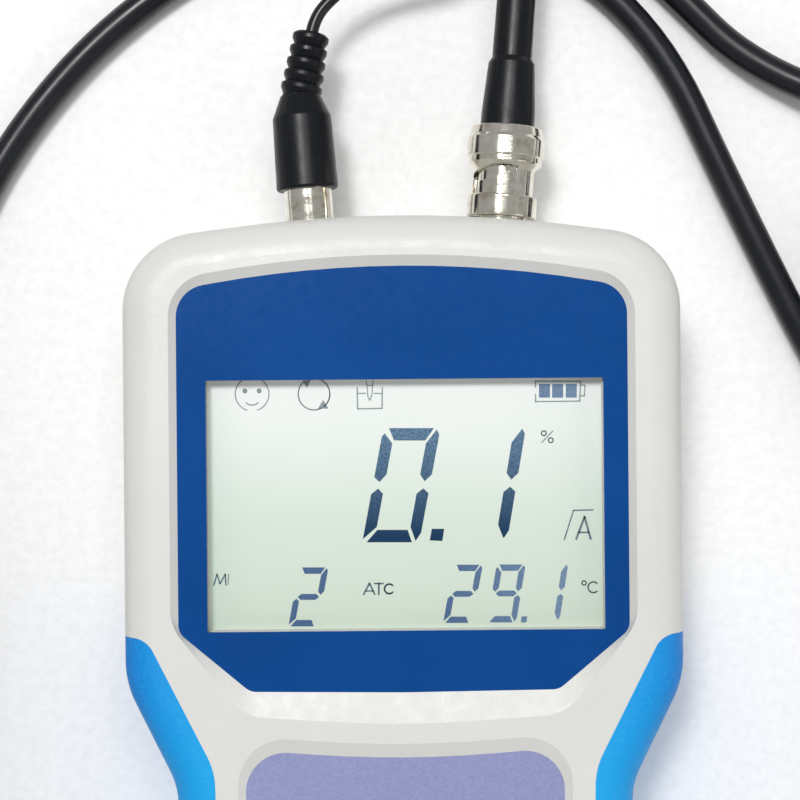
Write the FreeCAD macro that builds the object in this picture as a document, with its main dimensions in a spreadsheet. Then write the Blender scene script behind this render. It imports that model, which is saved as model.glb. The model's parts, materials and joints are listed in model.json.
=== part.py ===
"""A hand-held dissolved oxygen meter on its back, its two plugs and its probe on a cable.

Millimetres. +X is to the right of the display, +Y towards the connectors, +Z out of the display.
The origin is on the flat back, under the middle of the housing.
"""
import FreeCAD, Part
import math
import os
from types import SimpleNamespace

import Sketcher
from FreeCAD import Placement, Rotation, Vector

SIZES = {
    # Housing outline, seen from the front
    "body_width": 96.0,
    "body_length": 170.0,
    "body_thickness": 35.0,
    "parting_height": 21.6,
    "wall": 2.8,
    "crown_radius": 230.0,
    "crown_slope": 0.13125,
    "top_corner_radius": 13.5,
    "shoulder_station": 80.0,
    "shoulder_radius": 17.0,
    "waist_station": 97.8,
    "waist_width": 78.4,
    "waist_radius": 14.0,
    "tail_width": 73.0,
    "tail_drop": 7.5,
    "tail_crown_radius": 120.0,
    "tail_corner_radius": 15.0,
    "front_rim_radius": 6.0,
    "rear_rim_radius": 4.0,
    # Rubber side grips
    "grip_depth": 1.2,
    "grip_top_station": 71.8,
    "grip_shoulder_inset": 4.4,
    "grip_shoulder_radius": 4.0,
    "grip_waist_x": 32.2,
    "grip_waist_station": 94.3,
    "grip_waist_radius": 12.0,
    "grip_tail_x": 31.0,
    "grip_tail_space": 23.0,
    "grip_end_space": 17.0,
    # Seal in the parting joint
    "seal_inset": 1.6,
    "seal_width": 0.8,
    "seal_height": 1.2,
    # Display recess and what lies in it
    "recess_depth": 1.2,
    "recess_side_margin": 8.5,
    "recess_head_space": 7.2,
    "recess_crown_reach": 0.828,
    "recess_crown_slope": 0.17215,
    "recess_corner_radius": 7.5,
    "recess_cut_station": 69.8,
    "recess_end_station": 84.7,
    "recess_cut_inset": 20.8,
    "recess_cut_radius": 8.0,
    "recess_bottom_sag": 1.8,
    "recess_bottom_radius": 180.0,
    "panel_side_margin": 9.7,
    "panel_head_space": 9.0,
    "panel_corner_radius": 5.5,
    "panel_cut_station": 71.0,
    "panel_end_station": 81.1,
    "panel_cut_inset": 21.8,
    "panel_cut_radius": 3.0,
    "panel_bottom_sag": 0.3,
    "panel_thickness": 0.5,
    "window_side_margin": 14.25,
    "window_height": 42.7,
    "window_centre_x": 0.4,
    "window_station": 49.6,
    "pane_lip": 1.8,
    "pane_thickness": 1.5,
    "shelf_margin": 4.2,
    "shelf_thickness": 1.5,
    # Liquid crystal module under the window
    "glass_margin": 3.0,
    "glass_thickness": 2.8,
    "backlight_thickness": 1.4,
    "backlight_inset": 4.2,
    "zebra_width": 2.0,
    "frame_wall": 0.9,
    "fit_gap": 0.1,
    # Main board
    "board_level": 24.0,
    "board_thickness": 1.6,
    "board_side_margin": 10.6,
    "board_tail_half_width": 31.0,
    "board_head_space": 11.0,
    "board_step_station": 83.0,
    "board_tail_space": 16.5,
    # Keypad
    "keypad_depth": 1.0,
    "keypad_half_width": 28.6,
    "keypad_tail_half_width": 26.6,
    "keypad_station": 89.9,
    "keypad_end_space": 15.0,
    "keypad_crown_radius": 200.0,
    "keypad_crown_sag": 2.2,
    "keypad_corner_radius": 8.0,
    "overlay_thickness": 0.6,
    "overlay_side_slope": 1.3,
    "overlay_top_slope": 2.5,
    "key_length": 17.0,
    "key_width": 9.4,
    "key_corner_radius": 4.4,
    "key_gap": 0.3,
    "key_proud": 0.9,
    "key_flange": 1.2,
    "key_flange_thickness": 1.0,
    "key_rest_gap": 0.15,
    "key_travel": 0.6,
    "key_column_offset": 13.2,
    "key_row_share": 0.2473,
    "key_pitch_share": 0.27035,
    "plunger_radius": 2.6,
    "dome_radius": 4.0,
    "dome_height": 0.4,
    "mat_thickness": 1.4,
    "mat_margin": 1.5,
    "mat_well_gap": 0.8,
    # Battery bay, cells and sliding door
    "cell_radius": 5.2,
    "cell_length": 44.5,
    "cell_nub_radius": 1.9,
    "cell_nub_length": 1.0,
    "cell_pitch": 11.0,
    "cell_floor_gap": 0.35,
    "cell_roof_gap": 0.25,
    "bay_station": 45.0,
    "bay_end_space": 2.8,
    "bay_side_gap": 0.5,
    "tray_wall": 1.5,
    "tray_roof": 1.4,
    "tray_flange": 3.0,
    "tray_flange_thickness": 1.2,
    "contact_thickness": 0.35,
    "contact_width": 7.0,
    "door_thickness": 2.0,
    "door_half_width": 26.0,
    "door_station": 76.0,
    "door_gap": 0.2,
    "rail_width": 1.4,
    "rail_level": 1.1,
    # Screws that hold the two shells and the board
    "boss_radius": 3.5,
    "head_boss_inset": 6.4,
    "head_boss_station": 17.0,
    "side_boss_inset": 5.7,
    "side_boss_station": 64.0,
    "tail_boss_x": 31.4,
    "tail_boss_space": 12.4,
    "screw_radius": 1.4,
    "screw_clearance": 0.2,
    "screw_head_radius": 2.7,
    "screw_head_height": 2.0,
    "screw_seat": 10.0,
    "screw_length": 20.0,
    "counterbore_radius": 3.0,
    "board_boss_radius": 2.4,
    "board_screw_radius": 1.0,
    "board_screw_inset": 14.4,
    "board_screw_station": 17.0,
    "board_tail_screw_x": 27.6,
    "board_tail_screw_space": 21.4,
    # Where the two connectors stand on the curved end wall
    "jack_height": 14.2,
    "bnc_splay": 4.5,
    "cinch_splay": 4.05,
    "spot_face_depth": 0.3,
    # Bayonet jack
    "bnc_barrel_radius": 4.7,
    "bnc_barrel_length": 13.9,
    "bnc_barrel_wall": 0.55,
    "bnc_stem_radius": 4.75,
    "bnc_stem_length": 9.0,
    "bnc_flange_radius": 6.1,
    "bnc_flange_thickness": 1.0,
    "bnc_lug_radius": 0.95,
    "bnc_lug_reach": 5.35,
    "bnc_lug_station": 10.4,
    "bnc_lug_angle": 80.0,
    "bnc_nut_across": 12.0,
    "bnc_nut_thickness": 2.4,
    "bnc_socket_radius": 0.75,
    # Bayonet plug
    "nut_start": 1.5,
    "nut_bore_gap": 0.1,
    "nut_flange_radius": 6.3,
    "nut_flange_length": 4.0,
    "nut_mid_radius": 5.45,
    "nut_ring_start": 11.3,
    "nut_ring_radius": 7.0,
    "nut_ring_length": 6.6,
    "nut_ring_cone": 1.2,
    "nut_ring_groove": 0.35,
    "nut_cavity_start": 11.9,
    "nut_cavity_radius": 5.85,
    "nut_lip_front": 15.8,
    "nut_lip_gap": 0.35,
    "cam_rise": 2.2,
    "slot_width": 2.3,
    "plug_shoulder_start": 14.25,
    "plug_shoulder_length": 0.9,
    "plug_shoulder_radius": 5.6,
    "plug_sleeve_start": 3.5,
    "plug_sleeve_gap": 0.1,
    "plug_sleeve_wall": 0.5,
    "plug_shank_radius": 3.4,
    "plug_shank_end": 24.0,
    "plug_pin_radius": 0.68,
    "plug_dielectric_radius": 2.4,
    "washer_thickness": 0.5,
    "washer_bore_radius": 4.9,
    "boot_start": 16.6,
    "boot_radius": 4.85,
    "boot_end": 29.6,
    "boot_end_radius": 4.2,
    "collar_radius": 3.6,
    "collar_end_radius": 3.4,
    "collar_end": 50.0,
    # Coaxial cinch jack and plug
    "cinch_barrel_radius": 3.95,
    "cinch_barrel_length": 7.6,
    "cinch_stem_radius": 3.9,
    "cinch_flange_radius": 5.0,
    "cinch_flange_thickness": 0.7,
    "cinch_nut_across": 11.0,
    "cinch_pin_radius": 1.6,
    "cinch_pin_length": 9.0,
    "cinch_shell_gap": 0.05,
    "cinch_shell_wall": 0.35,
    "cinch_shell_start": 1.0,
    "cinch_shell_length": 9.5,
    "cinch_slit_width": 0.7,
    "cinch_slit_depth": 4.0,
    "cinch_grip_start": 6.9,
    "cinch_grip_radius": 5.6,
    "cinch_grip_end_radius": 5.3,
    "cinch_grip_end": 20.0,
    "cinch_neck_radius": 3.6,
    "cinch_neck_end": 24.0,
    "relief_lean": 15.0,
    "relief_length": 11.4,
    "relief_rib_radius": 3.75,
    "relief_end_radius": 3.3,
    "relief_groove": 0.55,
    # Cable, lead and the moulded junction
    "cable_diameter": 5.5,
    "lead_diameter": 2.3,
    "coil_x": 112.2,
    "coil_y": 66.6,
    "coil_radius": 30.0,
    "coil_clearance": 0.05,
    "hug_gap": 0.04,
    "junction_start": 1.0,
    "junction_length": 13.0,
    "junction_radius": 4.7,
    "junction_end_radius": 3.4,
    "junction_branch_radius": 2.6,
    "junction_branch_length": 8.5,
    "junction_branch_angle": 127.0,
    # Probe
    "probe_x": -87.0,
    "probe_cable_end": 46.0,
    "probe_relief_length": 22.0,
    "probe_relief_radius": 3.6,
    "probe_relief_base": 5.0,
    "probe_handle_length": 34.0,
    "probe_handle_radius": 7.0,
    "probe_stem_length": 36.0,
    "probe_stem_radius": 6.0,
    "probe_collar_length": 5.0,
    "cap_length": 17.0,
    "cap_radius": 7.0,
    "cap_skirt": 9.0,
    "cap_wall": 1.3,
    "cathode_radius": 1.9,
    "anode_radius": 3.6,
    "membrane_thickness": 0.3,
    "sensor_radius": 1.6,
    "sensor_length": 12.0,
}

# Routes are drawn for a housing whose head end is here, and move along Y with that end
ROUTE_HEAD = 85.0

# Route of the thick cable from the bayonet plug to the top of the put-away coil
CABLE_ROUTE = [
    (21.969, 134.137, 14.2),
    (24.009, 160.057, 14.2),
    (25.4, 184.5, 9.6),
    (13.4, 201.4, 5.4),
    (-6.5, 206.4, 3.2),
    (-24.3, 198.5, 2.8),
    (-32.8, 181.0, 2.8),
    (-28.4, 161.8, 2.8),
    (-12.4, 150.6, 2.8),
    (11.5, 152.0, 2.8),
    (33.5, 146.0, 2.8),
    (50.0, 131.0, 2.8),
    (66.0, 114.5, 3.4),
    (93.0, 103.8, 9.0),
    (120.93, 95.3, 8.6),
]

# Route from the outside of the coil, over the arch beyond the connectors, to the probe
TAIL_ROUTE = [
    (81.6, 52.0, 2.8),
    (63.6, 88.2, 2.8),
    (46.6, 125.6, 2.8),
    (16.0, 144.0, 2.8),
    (-20.7, 143.6, 2.8),
    (-50.0, 126.0, 2.8),
    (-72.2, 101.5, 2.8),
    (-85.5, 76.0, 3.2),
    (-87.0, 60.0, 7.0),
    (-87.0, 46.0, 7.0),
]

# Route of the thin lead, from the cinch plug's strain relief to the junction
LEAD_ROUTE = [
    (-15.774, 119.558, 14.2),
    (-15.014, 123.486, 14.2),
    (-12.49, 126.717, 14.4),
    (-8.075, 129.06, 14.7),
    (-0.25, 131.9, 14.9),
    (9.484, 133.286, 14.4),
    (15.388, 137.047, 14.2),
]

doc = FreeCAD.newDocument("OxygenMeter")
sheet = doc.addObject("Spreadsheet::Sheet", "Sizes")
for row, (alias, number) in enumerate(SIZES.items(), start=1):
    sheet.set(f"A{row}", alias)
    sheet.set(f"B{row}", str(number))
    sheet.setAlias(f"B{row}", alias)
doc.recompute()


class Size:
    """A number together with the sheet expression that gives it."""

    def __init__(self, value, text):
        self.value = value
        self.text = text

    def __add__(self, other):
        other = as_size(other)
        return Size(self.value + other.value, f"({self.text} + {other.text})")

    def __sub__(self, other):
        other = as_size(other)
        return Size(self.value - other.value, f"({self.text} - {other.text})")

    def __mul__(self, other):
        other = as_size(other)
        return Size(self.value * other.value, f"({self.text} * {other.text})")

    def __truediv__(self, other):
        other = as_size(other)
        return Size(self.value / other.value, f"({self.text} / {other.text})")

    def __neg__(self):
        return Size(-self.value, f"(0 - {self.text})")

    def __radd__(self, other):
        return as_size(other) + self

    def __rsub__(self, other):
        return as_size(other) - self

    def __rmul__(self, other):
        return as_size(other) * self


def as_size(number):
    """A plain number as a size, and a size as it is."""
    return number if isinstance(number, Size) else Size(float(number), f"({float(number)})")


def root(size):
    """Square root."""
    return Size(math.sqrt(size.value), f"sqrt({size.text})")


def sine(degrees):
    """Sine of an angle in degrees."""
    return Size(math.sin(math.radians(degrees.value)), f"sin({degrees.text})")


def cosine(degrees):
    """Cosine of an angle in degrees."""
    return Size(math.cos(math.radians(degrees.value)), f"cos({degrees.text})")


s = SimpleNamespace(**{name: Size(float(sheet.get(name)), f"Sizes.{name}") for name in SIZES})
nodes = []

# Places that follow the housing: stations from its head end, spaces from its tail end, margins
# from its sides

head_end = s.body_length / 2
tail_end = -s.body_length / 2
side_end = s.body_width / 2
s.grip_top = head_end - s.grip_top_station
s.grip_shoulder_x = side_end - s.grip_shoulder_inset
s.grip_waist_y = head_end - s.grip_waist_station
s.grip_tail_y = tail_end + s.grip_tail_space
s.grip_bottom = tail_end + s.grip_end_space
s.recess_half_width = side_end - s.recess_side_margin
s.recess_top = head_end - s.recess_head_space
s.recess_crown_drop = s.recess_crown_slope * s.recess_half_width
s.recess_crown_radius = s.recess_crown_reach * s.recess_half_width / s.recess_crown_slope
s.recess_cut_top = head_end - s.recess_cut_station
s.recess_cut_bottom = head_end - s.recess_end_station
s.recess_cut_x = side_end - s.recess_cut_inset
s.panel_half_width = side_end - s.panel_side_margin
s.panel_top = head_end - s.panel_head_space
s.panel_cut_top = head_end - s.panel_cut_station
s.panel_cut_bottom = head_end - s.panel_end_station
s.panel_cut_x = side_end - s.panel_cut_inset
s.window_width = s.body_width - s.window_side_margin * 2
s.window_centre_y = head_end - s.window_station
s.board_head_half_width = side_end - s.board_side_margin
s.board_top = head_end - s.board_head_space
s.board_step = head_end - s.board_step_station
s.board_bottom = tail_end + s.board_tail_space
s.board_screw_x = side_end - s.board_screw_inset
s.board_screw_y = head_end - s.board_screw_station
s.board_tail_screw_y = tail_end + s.board_tail_screw_space
s.keypad_top = head_end - s.keypad_station
s.keypad_bottom = tail_end + s.keypad_end_space
s.key_first_row = s.keypad_top - s.key_row_share * (s.keypad_top - s.keypad_bottom)
s.key_row_pitch = s.key_pitch_share * (s.keypad_top - s.keypad_bottom)
s.bay_centre_y = tail_end + s.bay_station
s.door_top = tail_end + s.door_station
s.head_boss_x = side_end - s.head_boss_inset
s.head_boss_y = head_end - s.head_boss_station
s.side_boss_x = side_end - s.side_boss_inset
s.side_boss_y = head_end - s.side_boss_station
s.tail_boss_y = tail_end + s.tail_boss_space


def node(label, piece):
    """Names a finished piece, which is then written under that name."""
    piece.Label = label
    nodes.append(piece)
    return piece


def bind(piece, prop, size):
    """Gives a property its value and ties it to the sheet."""
    size = as_size(size)
    if "." not in prop:
        setattr(piece, prop, size.value)
    piece.setExpression(prop, size.text)


def place(piece, x=0, y=0, z=0, turn=None):
    """Puts a piece at a point tied to the sheet, turned first by a fixed rotation."""
    x, y, z = as_size(x), as_size(y), as_size(z)
    piece.Placement = Placement(Vector(x.value, y.value, z.value), turn or Rotation())
    bind(piece, "Placement.Base.x", x)
    bind(piece, "Placement.Base.y", y)
    bind(piece, "Placement.Base.z", z)
    return piece


# Primitives and booleans

def box(name, low, high):
    """A box between two corners."""
    piece = doc.addObject("Part::Box", name)
    for prop, a, b in zip(("Length", "Width", "Height"), low, high):
        bind(piece, prop, as_size(b) - a)
    return place(piece, *low)


def cylinder(name, radius, length, x=0, y=0, z=0, turn=None):
    """A cylinder along +Z from a point, or along another way when turned."""
    piece = doc.addObject("Part::Cylinder", name)
    bind(piece, "Radius", radius)
    bind(piece, "Height", length)
    return place(piece, x, y, z, turn)


def cut(name, base, tool):
    """The base without the tool."""
    piece = doc.addObject("Part::Cut", name)
    piece.Base = base
    piece.Tool = tool
    return piece


def fuse(name, pieces):
    """All the pieces as one."""
    piece = doc.addObject("Part::MultiFuse", name)
    piece.Shapes = pieces
    return piece


def common(name, pieces):
    """What all the pieces share."""
    piece = doc.addObject("Part::MultiCommon", name)
    piece.Shapes = pieces
    return piece


def group(name, pieces):
    """Separate solids kept together."""
    piece = doc.addObject("Part::Compound", name)
    piece.Links = pieces
    return piece


# Bodies and sketches

def new_body(name):
    """An empty body."""
    return doc.addObject("PartDesign::Body", name)


def corner_arc(before, corner, after, radius):
    """Start, middle and end of the arc that rounds a corner."""
    to_before = (before - corner).normalize()
    to_after = (after - corner).normalize()
    half_angle = math.acos(max(-1.0, min(1.0, to_before.dot(to_after)))) / 2
    reach = radius / math.tan(half_angle)
    centre = corner + (to_before + to_after).normalize() * (radius / math.sin(half_angle))
    middle = centre + (corner - centre).normalize() * radius
    return corner + to_before * reach, middle, corner + to_after * reach


def hold_point(sketch, geometry, x, y, point=1):
    """Ties a sketch point's two coordinates to the sheet."""
    for kind, axis, size in (("DistanceX", -2, x), ("DistanceY", -1, y)):
        if abs(size.value) < 1e-9:
            sketch.addConstraint(Sketcher.Constraint("PointOnObject", geometry, point, axis))
        else:
            index = sketch.addConstraint(Sketcher.Constraint(kind, geometry, point, size.value))
            sketch.setExpression(f"Constraints[{index}]", size.text)


def outline(body, corners, level=0, plane="XY_Plane"):
    """A closed sketch through corners (x, y), (x, y, radius) or (0, y, radius, centre of bow)."""
    sketch = body.newObject("Sketcher::SketchObject", "Outline")
    origin_plane = [item for item in body.Origin.OriginFeatures if item.Role == plane][0]
    sketch.AttachmentSupport = (origin_plane, [""])
    sketch.MapMode = "FlatFace"
    level = as_size(level)
    sketch.AttachmentOffset = Placement(Vector(0, 0, level.value), Rotation())
    sketch.setExpression("AttachmentOffset.Base.z", level.text)
    sizes = [[as_size(value) for value in corner] for corner in corners]
    points = [Vector(x.value, y.value, 0) for x, y, *rest in sizes]
    count = len(points)
    arcs = {}
    for i, corner in enumerate(sizes):
        if len(corner) > 2:
            arcs[i] = corner_arc(points[i - 1], points[i], points[(i + 1) % count], corner[2].value)
    lines = []
    for i in range(count):
        following = (i + 1) % count
        start = arcs[i][2] if i in arcs else points[i]
        end = arcs[following][0] if following in arcs else points[following]
        lines.append(sketch.addGeometry(Part.LineSegment(start, end), False))
    for i, (x, y, *rounding) in enumerate(sizes):
        before, after = lines[i - 1], lines[i]
        if not rounding:
            sketch.addConstraint(Sketcher.Constraint("Coincident", before, 2, after, 1))
            hold_point(sketch, after, x, y)
            continue
        enter, middle, leave = arcs[i]
        turns_left = (middle - enter).cross(leave - middle).z > 0
        ends = (enter, middle, leave) if turns_left else (leave, middle, enter)
        arc = sketch.addGeometry(Part.Arc(*ends), False)
        first, last = (1, 2) if turns_left else (2, 1)
        sketch.addConstraint(Sketcher.Constraint("Tangent", before, 2, arc, first))
        sketch.addConstraint(Sketcher.Constraint("Tangent", after, 1, arc, last))
        index = sketch.addConstraint(Sketcher.Constraint("Radius", arc, rounding[0].value))
        sketch.setExpression(f"Constraints[{index}]", rounding[0].text)
        if len(rounding) == 2:
            hold_point(sketch, arc, x, rounding[1], 3)
            continue
        corner = sketch.addGeometry(Part.Point(points[i]), True)
        sketch.addConstraint(Sketcher.Constraint("PointOnObject", corner, 1, before))
        sketch.addConstraint(Sketcher.Constraint("PointOnObject", corner, 1, after))
        hold_point(sketch, corner, x, y)
    return sketch


def pad(body, corners, bottom, top, plane="XY_Plane"):
    """Adds the outline's prism between two levels."""
    feature = body.newObject("PartDesign::Pad", "Pad")
    feature.Profile = outline(body, corners, bottom, plane)
    bind(feature, "Length", as_size(top) - bottom)
    return feature


def pocket(body, corners, bottom, top):
    """Removes the outline's prism between two levels."""
    feature = body.newObject("PartDesign::Pocket", "Pocket")
    feature.Profile = outline(body, corners, top)
    bind(feature, "Length", as_size(top) - bottom)
    return feature


def slab(name, corners, bottom, top):
    """A body of one prism."""
    body = new_body(name)
    pad(body, corners, bottom, top)
    return body


def turned(name, corners, plane="XY_Plane"):
    """A body turned from a half profile: about Y from the XY plane, about Z from the XZ plane."""
    body = new_body(name)
    feature = body.newObject("PartDesign::Revolution", "Revolution")
    feature.Profile = outline(body, corners, 0, plane)
    feature.ReferenceAxis = (feature.Profile[0], ["V_Axis"])
    feature.Angle = 360
    return body


def tube_profile(inner, outer, start, end):
    """Half profile of a plain tube or ring."""
    return [(inner, start), (outer, start), (outer, end), (inner, end)]


def rim_edges(feature, level):
    """Names of the feature's edges that lie flat at one level."""
    names = []
    for number, edge in enumerate(feature.Shape.Edges, start=1):
        bounds = edge.BoundBox
        if abs(bounds.ZMin - level) < 1e-4 and abs(bounds.ZMax - level) < 1e-4:
            names.append(f"Edge{number}")
    return names


def round_rim(body, feature, level, radius):
    """Rounds all the edges at one level."""
    doc.recompute()
    fillet = body.newObject("PartDesign::Fillet", "Rim")
    fillet.Base = (feature, rim_edges(feature, as_size(level).value))
    bind(fillet, "Radius", radius)
    return fillet


def mirrored(half):
    """A right half's corners, from the top centre down, joined by the same on the left."""
    left = [(-as_size(x), *rest) for x, *rest in reversed(half) if as_size(x).value > 1e-9]
    return half + left


def rectangle(half_x, low_y, high_y, centre_x=0):
    """Corners of a rectangle about a centre line."""
    left = as_size(centre_x) - half_x
    right = as_size(centre_x) + half_x
    return [(left, low_y), (right, low_y), (right, high_y), (left, high_y)]


def oval(half_x, half_y, radius):
    """Corners of a rounded rectangle about the origin."""
    signs = [(-1, -1), (1, -1), (1, 1), (-1, 1)]
    return [(half_x * i, half_y * j, radius) for i, j in signs]


def bow(apex, radius, half_width, drop, way=1):
    """A shallow arc's corner on the centre line; way is 1 when it bulges up and -1 when down."""
    apex, slope = as_size(apex), drop / half_width
    peak = apex + way * radius * (root(1 + slope * slope) - 1)
    return 0, peak, radius, apex - way * radius


# Housing

def body_outline(inset):
    """The meter's outline, drawn in by an inset."""
    half = s.body_width / 2
    tail = s.tail_width / 2
    top = s.body_length / 2 - inset
    crown = bow(top, s.crown_radius - inset, half, s.crown_slope * half)
    base = bow(-top, s.tail_crown_radius - inset, tail, s.tail_drop, -1)
    peak, foot = crown[1], base[1]
    shoulder_y = s.body_length / 2 - s.shoulder_station
    waist_y = s.body_length / 2 - s.waist_station
    return mirrored([
        crown,
        (half - inset, peak - s.crown_slope * (half - inset), s.top_corner_radius - inset),
        (half - inset, shoulder_y, s.shoulder_radius - inset),
        (s.waist_width / 2 - inset, waist_y, s.waist_radius + inset),
        (tail - inset, foot + s.tail_drop * (tail - inset) / tail, s.tail_corner_radius - inset),
        base,
    ])


def body_block(name, inset):
    """The meter's outer form drawn in on every side by an inset, with rounded rims."""
    body = new_body(name)
    top = s.body_thickness - inset
    base = pad(body, body_outline(inset), inset, top)
    front = round_rim(body, base, top, s.front_rim_radius - inset)
    round_rim(body, front, inset, s.rear_rim_radius - inset)
    return body


def mid_box(name, low_z, high_z):
    """A box wider and longer than the meter, between two levels."""
    reach_x = s.body_width / 2 + 1
    reach_y = s.body_length / 2 + 1
    return box(name, (-reach_x, -reach_y, low_z), (reach_x, reach_y, high_z))


outer = body_block("OuterForm", as_size(0))
core = body_block("GripBed", s.grip_depth)
cavity = body_block("Cavity", s.wall)
skin = cut("Skin", outer, core)


def grip_region(side):
    """The outline that a side grip fills, as seen from the front."""
    out = s.body_width / 2 + 1
    corners = [
        (out, s.grip_top),
        (s.grip_shoulder_x, s.grip_top, s.grip_shoulder_radius),
        (s.grip_waist_x, s.grip_waist_y, s.grip_waist_radius),
        (s.grip_tail_x, s.grip_tail_y, s.grip_shoulder_radius),
        (s.grip_tail_x + (s.grip_tail_y - s.grip_bottom), s.grip_bottom),
        (out, s.grip_bottom),
    ]
    return [(x * side, *rest) for x, *rest in corners]


grips = []
for side, label in ((-1, "grip_left"), (1, "grip_right")):
    region = slab("GripRegion", grip_region(side), -1, s.body_thickness + 1)
    grips.append(node(label, common("Grip", [skin, region])))

seal_bottom = s.parting_height - s.seal_height
seal_outer = slab("SealOuter", body_outline(s.seal_inset), seal_bottom, s.parting_height)
seal_inner = slab("SealInner", body_outline(s.seal_inset + s.seal_width),
                  seal_bottom - 1, s.parting_height + 1)
seal = node("housing_seal", cut("Seal", seal_outer, seal_inner))


# Display recess, blue panel, window and liquid crystal module

panel_level = s.body_thickness - s.recess_depth
film_bed = panel_level - s.panel_thickness
pane_bed = film_bed - s.pane_thickness
shelf_bottom = pane_bed - s.shelf_thickness


def recess_outline():
    """Crease where the front face turns down into the display recess."""
    half = s.recess_half_width
    crown = bow(s.recess_top, s.recess_crown_radius, half, s.recess_crown_drop)
    base = bow(s.recess_cut_bottom - s.recess_bottom_sag, s.recess_bottom_radius,
               s.recess_cut_x, s.recess_bottom_sag, -1)
    return mirrored([
        crown,
        (half, crown[1] - s.recess_crown_drop, s.recess_corner_radius),
        (half, s.recess_cut_top, s.recess_cut_radius),
        (s.recess_cut_x, base[1] + s.recess_bottom_sag, s.recess_cut_radius),
        base,
    ])


def panel_outline():
    """The blue panel, which fills the recess floor."""
    half = s.panel_half_width
    drop = s.recess_crown_drop * half / s.recess_half_width
    crown = bow(s.panel_top, s.recess_crown_radius, half, drop)
    base = bow(s.panel_cut_bottom - s.panel_bottom_sag, s.recess_bottom_radius,
               s.panel_cut_x, s.panel_bottom_sag, -1)
    return mirrored([
        crown,
        (half, crown[1] - drop, s.panel_corner_radius),
        (half, s.panel_cut_top, s.panel_cut_radius),
        (s.panel_cut_x, base[1] + s.panel_bottom_sag, s.panel_cut_radius),
        base,
    ])


def dish(name, lower, lower_level, upper, upper_level):
    """A sloping-sided form between two outlines of as many corners."""
    body = new_body(name)
    loft = body.newObject("PartDesign::AdditiveLoft", "Dish")
    loft.Profile = outline(body, lower, lower_level)
    loft.Sections = [outline(body, upper, upper_level)]
    loft.Ruled = True
    return body


def window_rectangle(margin):
    """The display window, with a margin all round."""
    half_y = s.window_height / 2 + margin
    return rectangle(s.window_width / 2 + margin, s.window_centre_y - half_y,
                     s.window_centre_y + half_y, s.window_centre_x)


recess = dish("Recess", panel_outline(), panel_level, recess_outline(), s.body_thickness)
film_space = slab("FilmSpace", panel_outline(), film_bed, panel_level)
pane_space = slab("PaneSpace", window_rectangle(s.pane_lip), pane_bed, film_bed)
window_hole = slab("WindowHole", window_rectangle(0), shelf_bottom - 1, panel_level + 1)
shelf = slab("Shelf", window_rectangle(s.shelf_margin), shelf_bottom, s.body_thickness - s.wall)

node("display_panel", cut("PanelWithWindow", film_space, window_hole))
node("display_window", slab("Pane", window_rectangle(s.pane_lip - s.fit_gap), pane_bed, film_bed))

board_top = s.board_level + s.board_thickness
glass_bottom = shelf_bottom - s.glass_thickness
node("lcd_glass", slab("Glass", window_rectangle(s.glass_margin), glass_bottom, shelf_bottom))


def module_strip(name, side, inner, width, bottom, top):
    """A strip along the upper or the lower edge of the liquid crystal glass."""
    reach = s.window_height / 2 + s.glass_margin
    low = s.window_centre_y + (reach - inner - width) * side
    high = s.window_centre_y + (reach - inner) * side
    low, high = (low, high) if side > 0 else (high, low)
    half = s.window_width / 2 + s.glass_margin - s.fit_gap
    return slab(name, rectangle(half, low, high, s.window_centre_x), bottom, top)


backlight_half_y = s.window_height / 2 + s.glass_margin - s.backlight_inset
node("lcd_backlight", slab("Backlight", rectangle(
    s.window_width / 2 + s.glass_margin - s.fit_gap, s.window_centre_y - backlight_half_y,
    s.window_centre_y + backlight_half_y, s.window_centre_x),
    glass_bottom - s.backlight_thickness, glass_bottom))
node("zebra_strips", group("Zebra", [
    module_strip("ZebraStrip", side, s.fit_gap, s.zebra_width, board_top, glass_bottom)
    for side in (-1, 1)]))
lcd_frame_outer = slab("FrameOuter", window_rectangle(s.glass_margin + s.frame_wall),
                       board_top, shelf_bottom)
lcd_frame_hole = slab("FrameHole", window_rectangle(s.glass_margin), board_top - 1, shelf_bottom + 1)
node("lcd_frame", cut("Frame", lcd_frame_outer, lcd_frame_hole))


# Keypad

overlay_level = s.body_thickness - s.keypad_depth
overlay_bed = overlay_level - s.overlay_thickness
front_wall_inside = s.body_thickness - s.wall


def keypad_outline(side_slope, top_slope):
    """The keypad's outline, drawn in by the slope of its edge."""
    half = s.keypad_half_width - side_slope
    tail = s.keypad_tail_half_width - side_slope
    radius = s.keypad_corner_radius - side_slope
    slope = s.keypad_crown_sag / s.keypad_half_width
    crown = bow(s.keypad_top - top_slope, s.keypad_crown_radius, half, slope * half, -1)
    base = bow(s.keypad_bottom + side_slope, s.keypad_crown_radius, tail, slope * tail, -1)
    return mirrored([
        crown,
        (half, crown[1] + slope * half, radius),
        (tail, base[1] + slope * tail, radius),
        base,
    ])


overlay_outline = keypad_outline(s.overlay_side_slope, s.overlay_top_slope)
keypad_recess = dish("KeypadRecess", overlay_outline, overlay_level,
                     keypad_outline(as_size(0), as_size(0)), s.body_thickness)
overlay_space = slab("OverlaySpace", overlay_outline, overlay_bed, overlay_level)

KEY_NAMES = ["key_power", "key_calibrate", "key_mode", "key_hold", "key_up", "key_down"]
key_places = []
for number in range(len(KEY_NAMES)):
    column = -1 if number % 2 == 0 else 1
    key_places.append((s.key_column_offset * column, s.key_first_row - s.key_row_pitch * (number // 2)))

key_top = overlay_level + s.key_proud
flange_top = front_wall_inside - s.key_rest_gap
flange_bottom = flange_top - s.key_flange_thickness
plunger_bottom = board_top + s.dome_height + s.key_travel

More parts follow.
